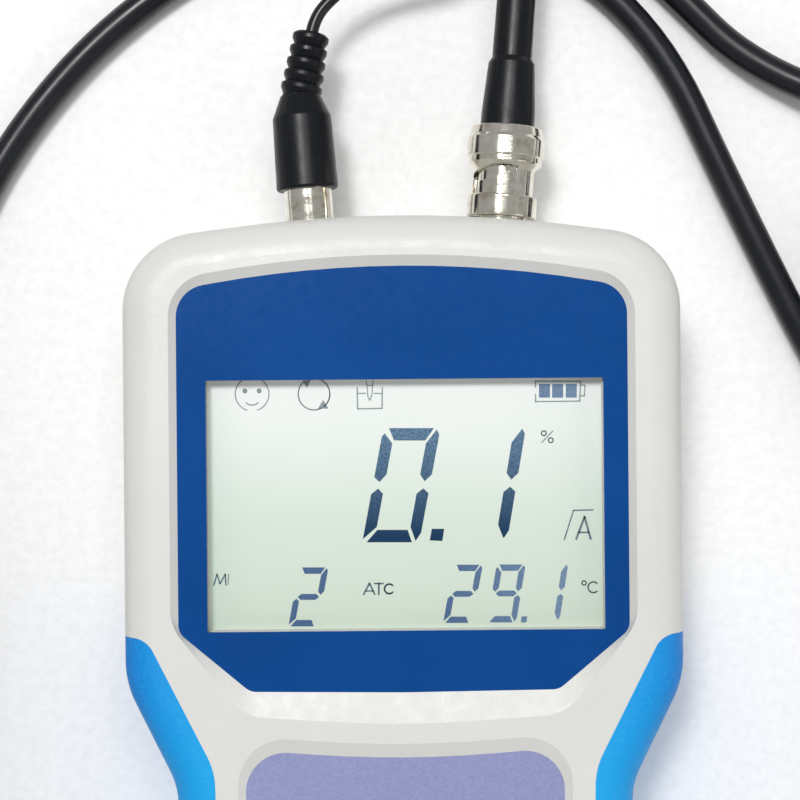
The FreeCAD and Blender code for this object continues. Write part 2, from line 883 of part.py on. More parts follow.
key_holes = []
mat_wells = []
domes = []
for (x, y), label in zip(key_places, KEY_NAMES):
    hole = slab("KeyHole", oval(s.key_length / 2 + s.key_gap, s.key_width / 2 + s.key_gap,
                                s.key_corner_radius + s.key_gap),
                front_wall_inside - 1, s.body_thickness + 1)
    key_holes.append(place(hole, x, y))
    cap = new_body("KeyCap")
    flange = s.key_flange
    pad(cap, oval(s.key_length / 2 + flange, s.key_width / 2 + flange, s.key_corner_radius + flange),
        flange_bottom, flange_top)
    face = pad(cap, oval(s.key_length / 2, s.key_width / 2, s.key_corner_radius), flange_top, key_top)
    round_rim(cap, face, key_top, s.key_proud * 0.6)
    stem = cap.newObject("PartDesign::Pad", "Plunger")
    stem.Profile = outline(cap, oval(s.plunger_radius, s.plunger_radius, s.plunger_radius * 0.99),
                           plunger_bottom)
    bind(stem, "Length", flange_bottom - plunger_bottom)
    node(label, place(cap, x, y))
    well = cylinder("Well", s.dome_radius + s.mat_well_gap, s.mat_thickness + 2, x, y, board_top - 1)
    mat_wells.append(well)
    dome = turned("Dome", [(0, 0), (s.dome_radius, 0), (s.dome_radius - s.dome_height, s.dome_height),
                           (0, s.dome_height)], "XZ_Plane")
    domes.append(place(dome, x, y, board_top))

key_hole_tool = fuse("KeyHoles", key_holes)
node("keypad_overlay", cut("Overlay", overlay_space, key_hole_tool))
mat_slab = slab("MatSlab", keypad_outline(s.overlay_side_slope + s.mat_margin,
                                          s.overlay_top_slope + s.mat_margin),
                board_top, board_top + s.mat_thickness)
node("keypad_mat", cut("Mat", mat_slab, fuse("Wells", mat_wells)))
node("snap_domes", group("Domes", domes))


# Main board with its parts, hung from posts in the front shell

board = slab("Board", mirrored([
    (s.board_head_half_width, s.board_top, 3),
    (s.board_head_half_width, s.board_step, 2),
    (s.board_tail_half_width, s.board_step - 8, 2),
    (s.board_tail_half_width, s.board_bottom, 5),
]), s.board_level, board_top)
post_places = [(s.board_screw_x * i, s.board_screw_y) for i in (-1, 1)]
post_places += [(s.board_tail_screw_x * i, s.board_tail_screw_y) for i in (-1, 1)]
board_holes = [cylinder("BoardHole", s.board_screw_radius + s.screw_clearance, s.board_thickness + 2,
                        x, y, s.board_level - 1) for x, y in post_places]
node("main_board", cut("DrilledBoard", board, fuse("BoardHoles", board_holes)))

# Name, place across, station from the head end, width, depth and height
CHIPS = [
    ("Controller", 0.0, 41.0, 14.0, 14.0, 1.6),
    ("Amplifier", 17.0, 22.0, 5.0, 6.0, 1.5),
    ("Converter", 4.0, 22.0, 6.6, 8.0, 1.5),
    ("Memory", -17.0, 43.0, 5.0, 5.0, 1.4),
    ("Relay", 22.0, 45.0, 7.6, 10.2, 5.4),
    ("Regulator", -24.0, 63.0, 6.6, 6.0, 2.2),
    ("Crystal", 14.0, 56.0, 3.6, 9.0, 3.4),
]
chips = [box(name, (x - width / 2, head_end - station - depth / 2, s.board_level - height),
             (x + width / 2, head_end - station + depth / 2, s.board_level))
         for name, x, station, width, depth, height in CHIPS]
capacitors = [cylinder("Capacitor", 2.5, 7.0, x, head_end - 67, s.board_level - 7.0)
              for x in (-10.0, -3.0)]
buzzer = turned("Buzzer", tube_profile(0, 6.0, s.board_level - 5.5, s.board_level), "XZ_Plane")
node("board_parts", group("BoardParts", chips + capacitors + [place(buzzer, 20.0, head_end - 67)]))

board_screws = []
for x, y in post_places:
    radius = s.board_screw_radius
    screw = turned("BoardScrew", [
        (0, s.board_level - 1.6), (radius * 2, s.board_level - 1.6), (radius * 2, s.board_level),
        (radius, s.board_level), (radius, board_top + 4), (0, board_top + 4)], "XZ_Plane")
    board_screws.append(place(screw, x, y))
node("board_screws", group("BoardScrews", board_screws))


# Screws through the back shell into the front one

boss_places = [(s.head_boss_x * i, s.head_boss_y) for i in (-1, 1)]
boss_places += [(s.side_boss_x * i, s.side_boss_y) for i in (-1, 1)]
boss_places += [(s.tail_boss_x * i, s.tail_boss_y) for i in (-1, 1)]
thread_top = s.screw_seat + s.screw_length


def housing_screw(x, y):
    """A pan-head screw, head down, seated in its counterbore."""
    head = s.screw_seat - s.screw_head_height
    screw = turned("Screw", [
        (0, head), (s.screw_head_radius, head), (s.screw_head_radius, s.screw_seat),
        (s.screw_radius, s.screw_seat), (s.screw_radius, thread_top), (0, thread_top)], "XZ_Plane")
    return place(screw, x, y)


node("housing_screws", group("Screws", [housing_screw(x, y) for x, y in boss_places]))

front_bosses = [cylinder("FrontBoss", s.boss_radius, front_wall_inside - s.parting_height,
                         x, y, s.parting_height) for x, y in boss_places]
front_posts = [cylinder("Post", s.board_boss_radius, front_wall_inside - board_top, x, y, board_top)
               for x, y in post_places]
pilot_holes = [cylinder("Pilot", s.screw_radius + 0.02, thread_top - s.parting_height + 1,
                        x, y, s.parting_height - 1) for x, y in boss_places]
post_holes = [cylinder("PostPilot", s.board_screw_radius + 0.02, 4.5, x, y, board_top)
              for x, y in post_places]
boss_bed = s.wall / 2
rear_bosses = [cylinder("RearBoss", s.boss_radius, s.parting_height - boss_bed, x, y, boss_bed)
               for x, y in boss_places]
counterbores = [cylinder("Counterbore", s.counterbore_radius, s.screw_seat + 1, x, y, -1)
                for x, y in boss_places]
clearance_holes = [cylinder("Clearance", s.screw_radius + s.screw_clearance, s.parting_height,
                            x, y, s.screw_seat - 1) for x, y in boss_places]

# Front shell

front_half = common("FrontHalf", [outer, mid_box("FrontBox", s.parting_height, s.body_thickness + 1)])
front_hollow = cut("FrontHollow", front_half, cavity)
front_solid = common("FrontSolid", [
    fuse("FrontParts", [front_hollow, shelf] + front_bosses + front_posts), outer])
front_cuts = fuse("FrontCuts", [recess, film_space, pane_space, window_hole, keypad_recess,
                                overlay_space, key_hole_tool] + pilot_holes + post_holes + grips)
node("front_housing", cut("FrontShell", front_solid, front_cuts))


# Battery tray, cells, contacts and sliding door

cell_level = s.door_thickness + s.cell_floor_gap + s.cell_radius
tray_inside = cell_level + s.cell_radius + s.cell_roof_gap
tray_top = tray_inside + s.tray_roof
bay_half_x = s.cell_pitch * 1.5 + s.cell_radius + s.bay_side_gap
bay_half_y = s.cell_length / 2 + s.bay_end_space
bay_low = s.bay_centre_y - bay_half_y
bay_high = s.bay_centre_y + bay_half_y
tray_half_x = bay_half_x + s.tray_wall

tray = new_body("Tray")
pad(tray, rectangle(tray_half_x, bay_low - s.tray_wall, bay_high + s.tray_wall), s.wall, tray_top)
pad(tray, rectangle(tray_half_x + s.tray_flange, bay_low - s.tray_wall, bay_high + s.tray_wall),
    s.wall, s.wall + s.tray_flange_thickness)
pocket(tray, rectangle(bay_half_x, bay_low, bay_high), s.wall, tray_inside)
node("battery_tray", tray)

leaves = []
plates = []
for number in range(4):
    x = s.cell_pitch * (number - 1.5)
    radius = s.cell_radius
    nub_start = s.cell_length / 2 - s.cell_nub_length
    cell = turned("Cell", [
        (0, -s.cell_length / 2), (radius, -s.cell_length / 2, 0.8), (radius, nub_start, 0.8),
        (s.cell_nub_radius, nub_start), (s.cell_nub_radius, s.cell_length / 2), (0, s.cell_length / 2)])
    way = 0 if number % 2 == 0 else 180
    node(f"battery_{number + 1}",
         place(cell, x, s.bay_centre_y, cell_level, Rotation(Vector(0, 0, 1), way)))
    for end in (-1, 1):
        wall_y = s.bay_centre_y + bay_half_y * end
        thick = s.contact_thickness
        lean = s.bay_end_space - thick
        leaf = new_body("Leaf")
        leaf_side = [(0, 4.0), (thick, 4.0), (lean, 0.3), (lean, -0.3), (thick, -4.0), (0, -4.0),
                     (0, -3.2), (lean - thick * 1.4, 0), (0, 3.2)]
        pad(leaf, [(y * -end, z) for y, z in leaf_side], -s.contact_width / 2,
            s.contact_width / 2, "YZ_Plane")
        leaves.append(place(leaf, x, wall_y - thick * end, cell_level))
for end, pairs in ((1, (-1.0, 1.0)), (-1, (-1.5, 0.0, 1.5))):
    for pair in pairs:
        half = s.contact_width / 2 + (s.cell_pitch / 2 if abs(pair) < 1.2 else 0)
        wall_y = s.bay_centre_y + bay_half_y * end
        near = wall_y - s.contact_thickness * end
        low, high = (near, wall_y) if end > 0 else (wall_y, near)
        x = s.cell_pitch * pair
        plates.append(box("Plate", (x - half, low, cell_level - 4.2), (x + half, high, cell_level + 4.2)))
node("battery_contacts", group("Contacts", leaves + plates))


def door_form(name, gap):
    """The door's plate and side rails, grown by a gap on its sides, top and inner face."""
    low_y = -s.body_length / 2 - 1
    high_y = s.door_top + gap
    half = s.door_half_width + gap
    plate = box("DoorPlate", (-half, low_y, 0), (half, high_y, s.door_thickness + gap))
    reach = half + s.rail_width
    rails = box("DoorRails", (-reach, low_y, s.rail_level - gap), (reach, high_y, s.door_thickness + gap))
    return fuse(name, [plate, rails])


door_body = common("DoorBody", [outer, door_form("DoorSolid", as_size(0))])
thumb_ridges = [box("Ridge", (-11.0, s.door_top - 12.0 - 2.4 * k, -0.5),
                    (11.0, s.door_top - 10.8 - 2.4 * k, 0.5)) for k in range(5)]
node("battery_door", cut("Door", door_body, fuse("Ridges", thumb_ridges)))

# Back shell

rear_half = common("RearHalf", [outer, mid_box("RearBox", -1, s.parting_height)])
rear_hollow = cut("RearHollow", rear_half, cavity)
rear_solid = common("RearSolid", [fuse("RearParts", [rear_hollow] + rear_bosses), outer])
bay_mouth = slab("BayMouth", rectangle(bay_half_x, bay_low, bay_high), -1, s.wall + 1)


def crown_frame(piece, side):
    """Stands a connector piece on the curved end wall, its own +Y square to the wall."""
    splay = s.bnc_splay if side > 0 else s.cinch_splay
    x = s.crown_radius * sine(splay) * side
    y = s.body_length / 2 - s.crown_radius + s.crown_radius * cosine(splay)
    place(piece, x, y, s.jack_height, Rotation(Vector(0, 0, -side), splay.value))
    piece.setExpression("Placement.Rotation.Angle", splay.text)
    return piece


def wall_tool(name, side, hole_radius, face_radius, nut_across):
    """What a connector needs cut in the end wall: a hole and a flat seat inside and outside."""
    hole = [(0, -s.wall - 3), (hole_radius, -s.wall - 3), (hole_radius, 2), (0, 2)]
    outside = tube_profile(0, face_radius, -s.spot_face_depth, 2)
    nut_radius = nut_across / math.sqrt(3) + 0.2
    inside = tube_profile(0, nut_radius, -s.wall - 3, -s.wall + s.spot_face_depth)
    pieces = [turned(name, hole), turned(name, outside), turned(name, inside)]
    return crown_frame(fuse(name, pieces), side)


bnc_tool = wall_tool("BncWallTool", 1, s.bnc_stem_radius + 0.05, s.bnc_flange_radius + 0.15,
                     s.bnc_nut_across)
cinch_tool = wall_tool("CinchWallTool", -1, s.cinch_stem_radius + 0.05,
                       s.cinch_flange_radius + 0.15, s.cinch_nut_across)
rear_cuts = fuse("RearCuts", [door_form("DoorSpace", s.door_gap), bay_mouth, seal_outer, bnc_tool,
                              cinch_tool] + counterbores + clearance_holes + grips)
rear_with_rib = cut("RearShell", rear_solid, rear_cuts)
rear_refill = cut("SealIsland", common("IslandBlank", [rear_solid, seal_inner]),
                  fuse("IslandCuts", [mid_box("IslandBox", -1, seal_bottom)] + clearance_holes))
node("rear_housing", fuse("RearHousing", [rear_with_rib, rear_refill]))


# Bayonet jack on the right of the end wall

seat = -s.spot_face_depth
inner_seat = -s.wall + s.spot_face_depth


def hexagon(name, across, bore, start, end):
    """A hexagon nut along Y."""
    corner = across / math.sqrt(3)
    prism = doc.addObject("Part::Prism", name)
    prism.Polygon = 6
    bind(prism, "Circumradius", corner)
    bind(prism, "Height", end - start)
    place(prism, 0, start, 0, Rotation(Vector(1, 0, 0), -90))
    return cut(name, prism, turned(name, tube_profile(0, bore, start - 1, end + 1)))


def lug_turn(angle):
    """Turns a piece on +X so that it stands at an angle from +X towards +Z about the Y axis."""
    return Rotation(Vector(0, 1, 0), -angle)


bnc_bore = s.bnc_barrel_radius - s.bnc_barrel_wall
bnc_bottom = s.bnc_flange_thickness + seat + 0.6
bnc_shell = turned("BncShell", [
    (bnc_bore, bnc_bottom), (bnc_bore, s.bnc_barrel_length), (s.bnc_barrel_radius, s.bnc_barrel_length),
    (s.bnc_barrel_radius, seat + s.bnc_flange_thickness),
    (s.bnc_flange_radius, seat + s.bnc_flange_thickness), (s.bnc_flange_radius, seat),
    (s.bnc_stem_radius, seat), (s.bnc_stem_radius, -s.bnc_stem_length),
    (2.2, -s.bnc_stem_length), (2.2, bnc_bottom)])
lug_depth = 0.9
bnc_lugs = [cylinder("Lug", s.bnc_lug_radius, s.bnc_lug_reach - s.bnc_barrel_radius + s.bnc_barrel_wall / 2)
            for half_turn in (0, 180)]
for lug, half_turn in zip(bnc_lugs, (0, 180)):
    angle = s.bnc_lug_angle.value + half_turn
    foot = s.bnc_barrel_radius - s.bnc_barrel_wall / 2
    place(lug, foot * cosine(s.bnc_lug_angle + half_turn), s.bnc_lug_station,
          foot * sine(s.bnc_lug_angle + half_turn), lug_turn(angle) * Rotation(Vector(0, 1, 0), 90))
node("bnc_jack", crown_frame(fuse("BncJack", [bnc_shell] + bnc_lugs), 1))
bnc_insulator = turned("BncInsulator", [
    (s.bnc_socket_radius + 0.35, -s.bnc_stem_length - 1), (2.2, -s.bnc_stem_length - 1),
    (2.2, bnc_bottom), (bnc_bore, bnc_bottom), (bnc_bore, bnc_bottom + 0.8), (2.35, bnc_bottom + 0.8),
    (2.35, bnc_bottom + 1.6), (s.bnc_socket_radius + 0.35, bnc_bottom + 1.6)])
node("bnc_jack_insulator", crown_frame(bnc_insulator, 1))
bnc_contact = turned("BncContact", [
    (0, -s.bnc_stem_length - 4), (s.bnc_socket_radius + 0.35, -s.bnc_stem_length - 4),
    (s.bnc_socket_radius + 0.35, bnc_bottom + 6), (s.bnc_socket_radius, bnc_bottom + 6),
    (s.bnc_socket_radius, bnc_bottom + 1), (0, bnc_bottom + 1)])
node("bnc_jack_contact", crown_frame(bnc_contact, 1))
nut_end = inner_seat - s.bnc_nut_thickness
node("bnc_jack_nut", crown_frame(
    hexagon("BncNut", s.bnc_nut_across, s.bnc_stem_radius, nut_end, inner_seat), 1))

# Bayonet plug: coupling nut with two helical slots, spring washer, inner parts and boot

nut_bore = s.bnc_barrel_radius + s.nut_bore_gap
nut_end_y = s.nut_ring_start + s.nut_ring_length
lip_bore = s.boot_radius + s.nut_lip_gap
ring = s.nut_ring_radius
groove = s.nut_ring_groove
coupling = turned("Coupling", [
    (nut_bore, s.nut_start), (s.nut_flange_radius, s.nut_start, 0.4),
    (s.nut_flange_radius, s.nut_start + s.nut_flange_length, 0.4),
    (s.nut_mid_radius, s.nut_start + s.nut_flange_length),
    (s.nut_mid_radius, s.nut_ring_start - s.nut_ring_cone), (ring - groove, s.nut_ring_start, 0.4),
    (ring - groove, s.nut_ring_start + 1.0), (ring, s.nut_ring_start + 1.2, 0.2),
    (ring, nut_end_y - 2.2, 0.4), (ring - groove, nut_end_y - 1.6, 0.2),
    (ring - groove * 2, nut_end_y, 0.3), (lip_bore, nut_end_y),
    (lip_bore, s.nut_lip_front), (s.nut_cavity_radius, s.nut_lip_front),
    (s.nut_cavity_radius, s.nut_cavity_start), (nut_bore, s.nut_cavity_start)])


def cam_slot(angle):
    """Space for one lug: a way in from the front, a quarter-turn ramp and a detent."""
    low = s.bnc_lug_station - s.cam_rise
    middle = (s.bnc_barrel_radius + s.nut_mid_radius) / 2
    depth = s.nut_mid_radius - s.bnc_barrel_radius + 1.2
    half = s.slot_width / 2
    way_in = lug_turn(angle + 90)
    helix = doc.addObject("Part::Helix", "Ramp")
    bind(helix, "Pitch", s.cam_rise * 4)
    bind(helix, "Height", s.cam_rise)
    bind(helix, "Radius", middle)
    section = doc.addObject("Part::Plane", "RampSection")
    bind(section, "Length", depth)
    bind(section, "Width", s.slot_width)
    place(section, middle - depth / 2, 0, -half, Rotation(Vector(1, 0, 0), 90))
    sweep = doc.addObject("Part::Sweep", "RampSpace")
    sweep.Sections = [section]
    sweep.Spine = (helix, [])
    sweep.Solid = True
    sweep.Frenet = True
    place(sweep, 0, low, 0, way_in * Rotation(Vector(1, 0, 0), -90))
    channel_reach = middle + depth / 2 - 0.2
    channel = box("WayIn", (0, 0, 0), (channel_reach - nut_bore + 1, low - s.nut_start + 1, s.slot_width))
    turn_in = s.bnc_lug_angle + (angle - s.bnc_lug_angle.value + 90)
    start = nut_bore - 1
    place(channel, start * cosine(turn_in) + half * sine(turn_in), s.nut_start - 1,
          start * sine(turn_in) - half * cosine(turn_in), way_in)
    rounds = []
    for turn, station in ((angle, s.bnc_lug_station), (angle + 90, low)):
        spot = s.bnc_lug_angle + (turn - s.bnc_lug_angle.value)
        hole = cylinder("SlotEnd", half, channel_reach - start)
        place(hole, start * cosine(spot), station, start * sine(spot),
              lug_turn(turn) * Rotation(Vector(0, 1, 0), 90))
        rounds.append(hole)
    return [sweep, channel] + rounds


slots = cam_slot(s.bnc_lug_angle.value) + cam_slot(s.bnc_lug_angle.value + 180)
node("bnc_coupling_nut", crown_frame(cut("CouplingNut", coupling, fuse("CamSlots", slots)), 1))

shoulder_end = s.plug_shoulder_start + s.plug_shoulder_length
sleeve_out = bnc_bore - s.plug_sleeve_gap
sleeve_in = sleeve_out - s.plug_sleeve_wall
plug_body = turned("PlugBody", [
    (sleeve_in, s.plug_sleeve_start), (sleeve_out, s.plug_sleeve_start),
    (sleeve_out, s.plug_shoulder_start), (s.plug_shoulder_radius, s.plug_shoulder_start),
    (s.plug_shoulder_radius, shoulder_end), (s.plug_shank_radius + 0.9, shoulder_end),
    (s.plug_shank_radius + 0.9, s.boot_start), (s.plug_shank_radius, s.boot_start),
    (s.plug_shank_radius, s.plug_shank_end), (s.plug_dielectric_radius, s.plug_shank_end),
    (s.plug_dielectric_radius, s.plug_shoulder_start), (sleeve_in, s.plug_shoulder_start)])
node("bnc_plug_body", crown_frame(plug_body, 1))
dielectric = turned("PlugDielectric", [
    (s.plug_pin_radius, s.plug_shoulder_start - 3.0), (2.3, s.plug_shoulder_start - 3.0),
    (2.3, s.plug_shoulder_start), (s.plug_dielectric_radius, s.plug_shoulder_start),
    (s.plug_dielectric_radius, s.plug_shank_end), (s.plug_pin_radius, s.plug_shank_end)])
node("bnc_plug_insulator", crown_frame(dielectric, 1))
pin = turned("PlugPin", [
    (0, bnc_bottom + 1.6), (s.plug_pin_radius, bnc_bottom + 2.2), (s.plug_pin_radius, s.plug_shank_end),
    (0, s.plug_shank_end)])
node("bnc_plug_pin", crown_frame(pin, 1))
washer_end = s.nut_lip_front - 0.05
washer = turned("Washer", tube_profile(s.washer_bore_radius, s.nut_cavity_radius - 0.1,
                                       washer_end - s.washer_thickness, washer_end))
node("bnc_spring_washer", crown_frame(washer, 1))
hug = s.cable_diameter / 2 + s.hug_gap
boot = turned("Boot", [
    (s.plug_shank_radius, s.boot_start), (s.boot_radius, s.boot_start),
    (s.boot_radius, nut_end_y + 2.5), (s.boot_end_radius, s.boot_end, 0.5),
    (s.collar_radius, s.boot_end + 1.0), (hug, s.boot_end + 1.0),
    (hug, s.plug_shank_end), (s.plug_shank_radius, s.plug_shank_end)])
node("bnc_boot", crown_frame(boot, 1))
collar = turned("Collar", [
    (hug, s.boot_end + 1.0), (s.collar_radius, s.boot_end + 1.0),
    (s.collar_end_radius, s.collar_end, 0.5), (hug, s.collar_end)])
node("bnc_collar", crown_frame(collar, 1))
stub = turned("CableStub", tube_profile(0, s.cable_diameter / 2, s.plug_shank_end, s.collar_end))
node("cable_stub", crown_frame(stub, 1))

# Cinch jack on the left of the end wall

c_seat = s.cinch_flange_thickness + seat
cinch_bore = s.cinch_pin_radius + 0.05
cinch_shell = turned("CinchJack", [
    (3.1, c_seat), (3.1, s.cinch_barrel_length), (s.cinch_barrel_radius, s.cinch_barrel_length),
    (s.cinch_barrel_radius, c_seat), (s.cinch_flange_radius, c_seat), (s.cinch_flange_radius, seat),
    (s.cinch_stem_radius, seat), (s.cinch_stem_radius, -8.0), (3.1, -8.0)])
node("cinch_jack", crown_frame(cinch_shell, -1))
cinch_insulator = turned("CinchInsulator", [
    (cinch_bore, -5.0), (cinch_bore, s.cinch_barrel_length - 0.4), (3.1, s.cinch_barrel_length - 0.4),
    (3.1, -8.0), (0.8, -8.0), (0.8, -5.0)])
node("cinch_jack_insulator", crown_frame(cinch_insulator, -1))
node("cinch_jack_nut", crown_frame(
    hexagon("CinchNut", s.cinch_nut_across, s.cinch_stem_radius, inner_seat - 2.2, inner_seat), -1))

# Cinch plug: slit metal shell, pin and moulded grip with its ribbed strain relief

shell_in = s.cinch_barrel_radius + s.cinch_shell_gap
shell_out = shell_in + s.cinch_shell_wall
shell_end = s.cinch_shell_start + s.cinch_shell_length
shell = turned("CinchShell", [
    (shell_in, s.cinch_shell_start), (shell_out, s.cinch_shell_start), (shell_out, shell_end),
    (1.7, shell_end), (1.7, shell_end - 0.8), (shell_in, shell_end - 0.8)])
slit_half = s.cinch_slit_width / 2
slit_reach = shell_out + 1
slits = []
for low, high in (((-slit_reach, -slit_half), (slit_reach, slit_half)),
                  ((-slit_half, -slit_reach), (slit_half, slit_reach))):
    slits.append(box("Slit", (low[0], s.cinch_shell_start - 1, low[1]),
                     (high[0], s.cinch_shell_start + s.cinch_slit_depth, high[1])))
node("cinch_plug_shell", crown_frame(cut("SlitShell", shell, fuse("Slits", slits)), -1))
cinch_pin = turned("CinchPin", [
    (0, -4.6), (s.cinch_pin_radius, -4.6, 1.2), (s.cinch_pin_radius, shell_end + 4),
    (0, shell_end + 4)])
node("cinch_plug_pin", crown_frame(cinch_pin, -1))

grip = turned("CinchGrip", [
    (s.cinch_pin_radius, shell_end), (shell_out, shell_end), (shell_out, s.cinch_grip_start),
    (s.cinch_grip_radius, s.cinch_grip_start, 0.5), (s.cinch_grip_end_radius, s.cinch_grip_end, 1.0),
    (s.cinch_neck_radius, s.cinch_neck_end), (0, s.cinch_neck_end), (0, shell_end + 4),
    (s.cinch_pin_radius, shell_end + 4)])
RIBS = 5
rib_pitch = s.relief_length / RIBS
relief_profile = [(0, -1.0), (s.cinch_neck_radius - 0.4, -1.0)]
for rib in range(RIBS):
    radius = s.relief_rib_radius - (s.relief_rib_radius - s.relief_end_radius) * rib / (RIBS - 1)
    start = rib_pitch * rib
    relief_profile += [(radius - s.relief_groove, start), (radius, start + rib_pitch * 0.45, 0.35),
                       (radius, start + rib_pitch * 0.8, 0.35)]
relief_profile += [(s.relief_end_radius - s.relief_groove, s.relief_length), (0, s.relief_length)]
relief = turned("Relief", relief_profile)
place(relief, 0, s.cinch_neck_end, 0, Rotation(Vector(0, 0, -1), s.relief_lean.value))
relief.setExpression("Placement.Rotation.Angle", s.relief_lean.text)
node("cinch_plug_grip", crown_frame(fuse("CinchMoulding", [grip, relief]), -1))


# Junction where the thin lead joins the cable

junction_from = s.collar_end + s.junction_start
junction_to = junction_from + s.junction_length
junction_core = turned("JunctionCore", [
    (hug, junction_from), (s.junction_end_radius, junction_from, 0.6),
    (s.junction_radius, junction_from + s.junction_length * 0.35, 3.0),
    (s.junction_radius, junction_from + s.junction_length * 0.65, 3.0),
    (s.junction_end_radius, junction_to, 0.6), (hug, junction_to)])
branch = turned("Branch", [
    (0, hug + 0.6), (s.junction_branch_radius + 0.6, hug + 0.6),
    (s.junction_branch_radius - 0.4, s.junction_branch_length, 0.5), (0, s.junction_branch_length)])
place(branch, 0, (junction_from + junction_to) / 2, 0,
      Rotation(Vector(0, 0, 1), s.junction_branch_angle.value))
branch.setExpression("Placement.Rotation.Angle", s.junction_branch_angle.text)
junction_bore = turned("JunctionBore", tube_profile(0, hug, junction_from - 1, junction_to + 1))
junction_form = cut("JunctionForm", fuse("JunctionBlank", [junction_core, branch]), junction_bore)
node("cable_junction", crown_frame(junction_form, 1))


# Probe at the far end of the cable, lying beside the meter with its tip towards -Y

def probe_form(corners):
    """A form turned about the probe's axis, measured from the cable towards the tip."""
    profile = [(x, -as_size(y), *rest) for x, y, *rest in corners]
    return place(turned("ProbePiece", profile), s.probe_x, head_end - ROUTE_HEAD + s.probe_cable_end,
                 s.cap_radius)


def probe_piece(label, corners):
    """A named piece of the probe."""
    return node(label, probe_form(corners))


relief_to = s.probe_relief_length
handle_to = relief_to + s.probe_handle_length
stem_to = handle_to + s.probe_stem_length
cap_from = stem_to - s.cap_skirt
cap_to = cap_from + s.cap_length
cap_inner = s.cap_radius - s.cap_wall
relief_tip = s.cable_diameter / 2
relief_points = [(0, 0), (s.probe_relief_radius, 0, 0.5)]
for rib in range(4):
    radius = s.probe_relief_radius + (s.probe_relief_base - s.probe_relief_radius) * rib / 4
    start = 3.0 + rib * 4.0
    relief_points += [(radius, start), (radius - 0.6, start + 0.4), (radius - 0.6, start + 1.6),
                      (radius + 0.1, start + 2.0)]
relief_points += [(s.probe_relief_base, relief_to), (0, relief_to)]
probe_piece("probe_strain_relief", relief_points)
handle = s.probe_handle_radius
probe_piece("probe_handle", [
    (0, relief_to), (handle - 1.6, relief_to, 0.8), (handle, relief_to + 5, 2.0),
    (handle, handle_to - 4), (handle - 0.5, handle_to - 3.6), (handle - 0.5, handle_to),
    (0, handle_to)])
stem = s.probe_stem_radius
probe_piece("probe_stem", [
    (0, handle_to), (stem, handle_to), (stem, cap_from - s.probe_collar_length),
    (stem + 0.5, cap_from - s.probe_collar_length + 0.5), (stem + 0.5, cap_from - 0.3),
    (cap_inner - 0.3, cap_from - 0.3), (cap_inner - 0.3, stem_to), (0, stem_to)])
probe_piece("membrane_cap", [
    (cap_inner - 0.25, cap_from), (s.cap_radius, cap_from, 0.4), (s.cap_radius, cap_to - 3, 1.0),
    (s.cap_radius - 1.6, cap_to), (cap_inner - 2.2, cap_to), (cap_inner - 2.2, cap_to - 1.0),
    (cap_inner - 0.25, cap_to - 1.0)])
tip_space = cap_to - 1.0 - s.membrane_thickness
probe_piece("probe_membrane", tube_profile(0, cap_inner - 0.3, tip_space, cap_to - 1.0))
cathode = tube_profile(0, s.cathode_radius, stem_to, tip_space)
anode = tube_profile(s.cathode_radius + 0.4, s.anode_radius, stem_to, tip_space - 1.6)
node("probe_electrodes", group("Electrodes", [probe_form(cathode), probe_form(anode)]))


# Cable and lead: straight runs joined by tangent arcs

def tube(route, diameter, name):
    """A round tube along a route; prints its tightest bend and compares its volume."""
    shift = Vector(0, head_end.value - ROUTE_HEAD, 0)
    points = [Vector(*point) + shift for point in route]
    runs = [(b - a).Length for a, b in zip(points, points[1:])]
    edges = []
    start = points[0]
    radii = []
    for i in range(1, len(points) - 1):
        back = (points[i - 1] - points[i]).normalize()
        ahead = (points[i + 1] - points[i]).normalize()
        half_turn = (math.pi - math.acos(max(-1.0, min(1.0, back.dot(ahead))))) / 2
        reach = 0.45 * min(runs[i - 1], runs[i])
        radii.append(reach / math.tan(half_turn))
        enter, middle, leave = corner_arc(points[i - 1], points[i], points[i + 1], radii[-1])
        edges.append(Part.LineSegment(start, enter).toShape())
        edges.append(Part.Arc(enter, middle, leave).toShape())
        start = leave
    edges.append(Part.LineSegment(start, points[-1]).toShape())
    path = Part.Wire(edges)
    section = Part.Wire(Part.makeCircle(diameter / 2, points[0], points[1] - points[0]))
    solid = path.makePipeShell([section], True, False)
    piece = doc.addObject("Part::Feature", name)
    piece.Shape = solid
    expected = math.pi * diameter ** 2 / 4 * path.Length
    print(f"{name}: length {path.Length:.1f}, tightest radius {min(radii):.1f} "
          f"({min(radii) / diameter:.1f} diameters), volume ratio {solid.Volume / expected:.4f}")
    print("  radii", " ".join(f"{radius:.0f}" for radius in radii))
    return piece


node("probe_cable", tube(CABLE_ROUTE, s.cable_diameter.value, "ProbeCable"))
node("cable_tail", tube(TAIL_ROUTE, s.cable_diameter.value, "CableTail"))

# The rest of the cable lies in a flat coil: two turns side by side and one on top of them
lower = s.coil_clearance
upper = lower + s.cable_diameter
coil_top = upper + s.cable_diameter * 0.955
coil_in = s.coil_radius - s.cable_diameter
coil_out = s.coil_radius + s.cable_diameter
half_cable = s.cable_diameter / 2
coil = turned("Coil", [
    (coil_in, lower), (coil_out, lower), (coil_out, upper), (s.coil_radius + half_cable, coil_top),
    (s.coil_radius - half_cable, coil_top), (coil_in, upper)], "XZ_Plane")
coil_place_y = head_end - ROUTE_HEAD + s.coil_y
node("cable_coil", place(coil, s.coil_x, coil_place_y))
node("temperature_lead", tube(LEAD_ROUTE, s.lead_diameter.value, "TemperatureLead"))

doc.recompute()
failed = [piece for piece in doc.Objects if "Invalid" in piece.State or "Error" in piece.State]
if failed:
    raise RuntimeError("failed: " + ", ".join(f"{piece.Name} ({piece.Label})" for piece in failed))
for piece in nodes:
    if piece.Shape.isNull() or not piece.Shape.isValid():
        raise RuntimeError(f"{piece.Label} has no valid shape")

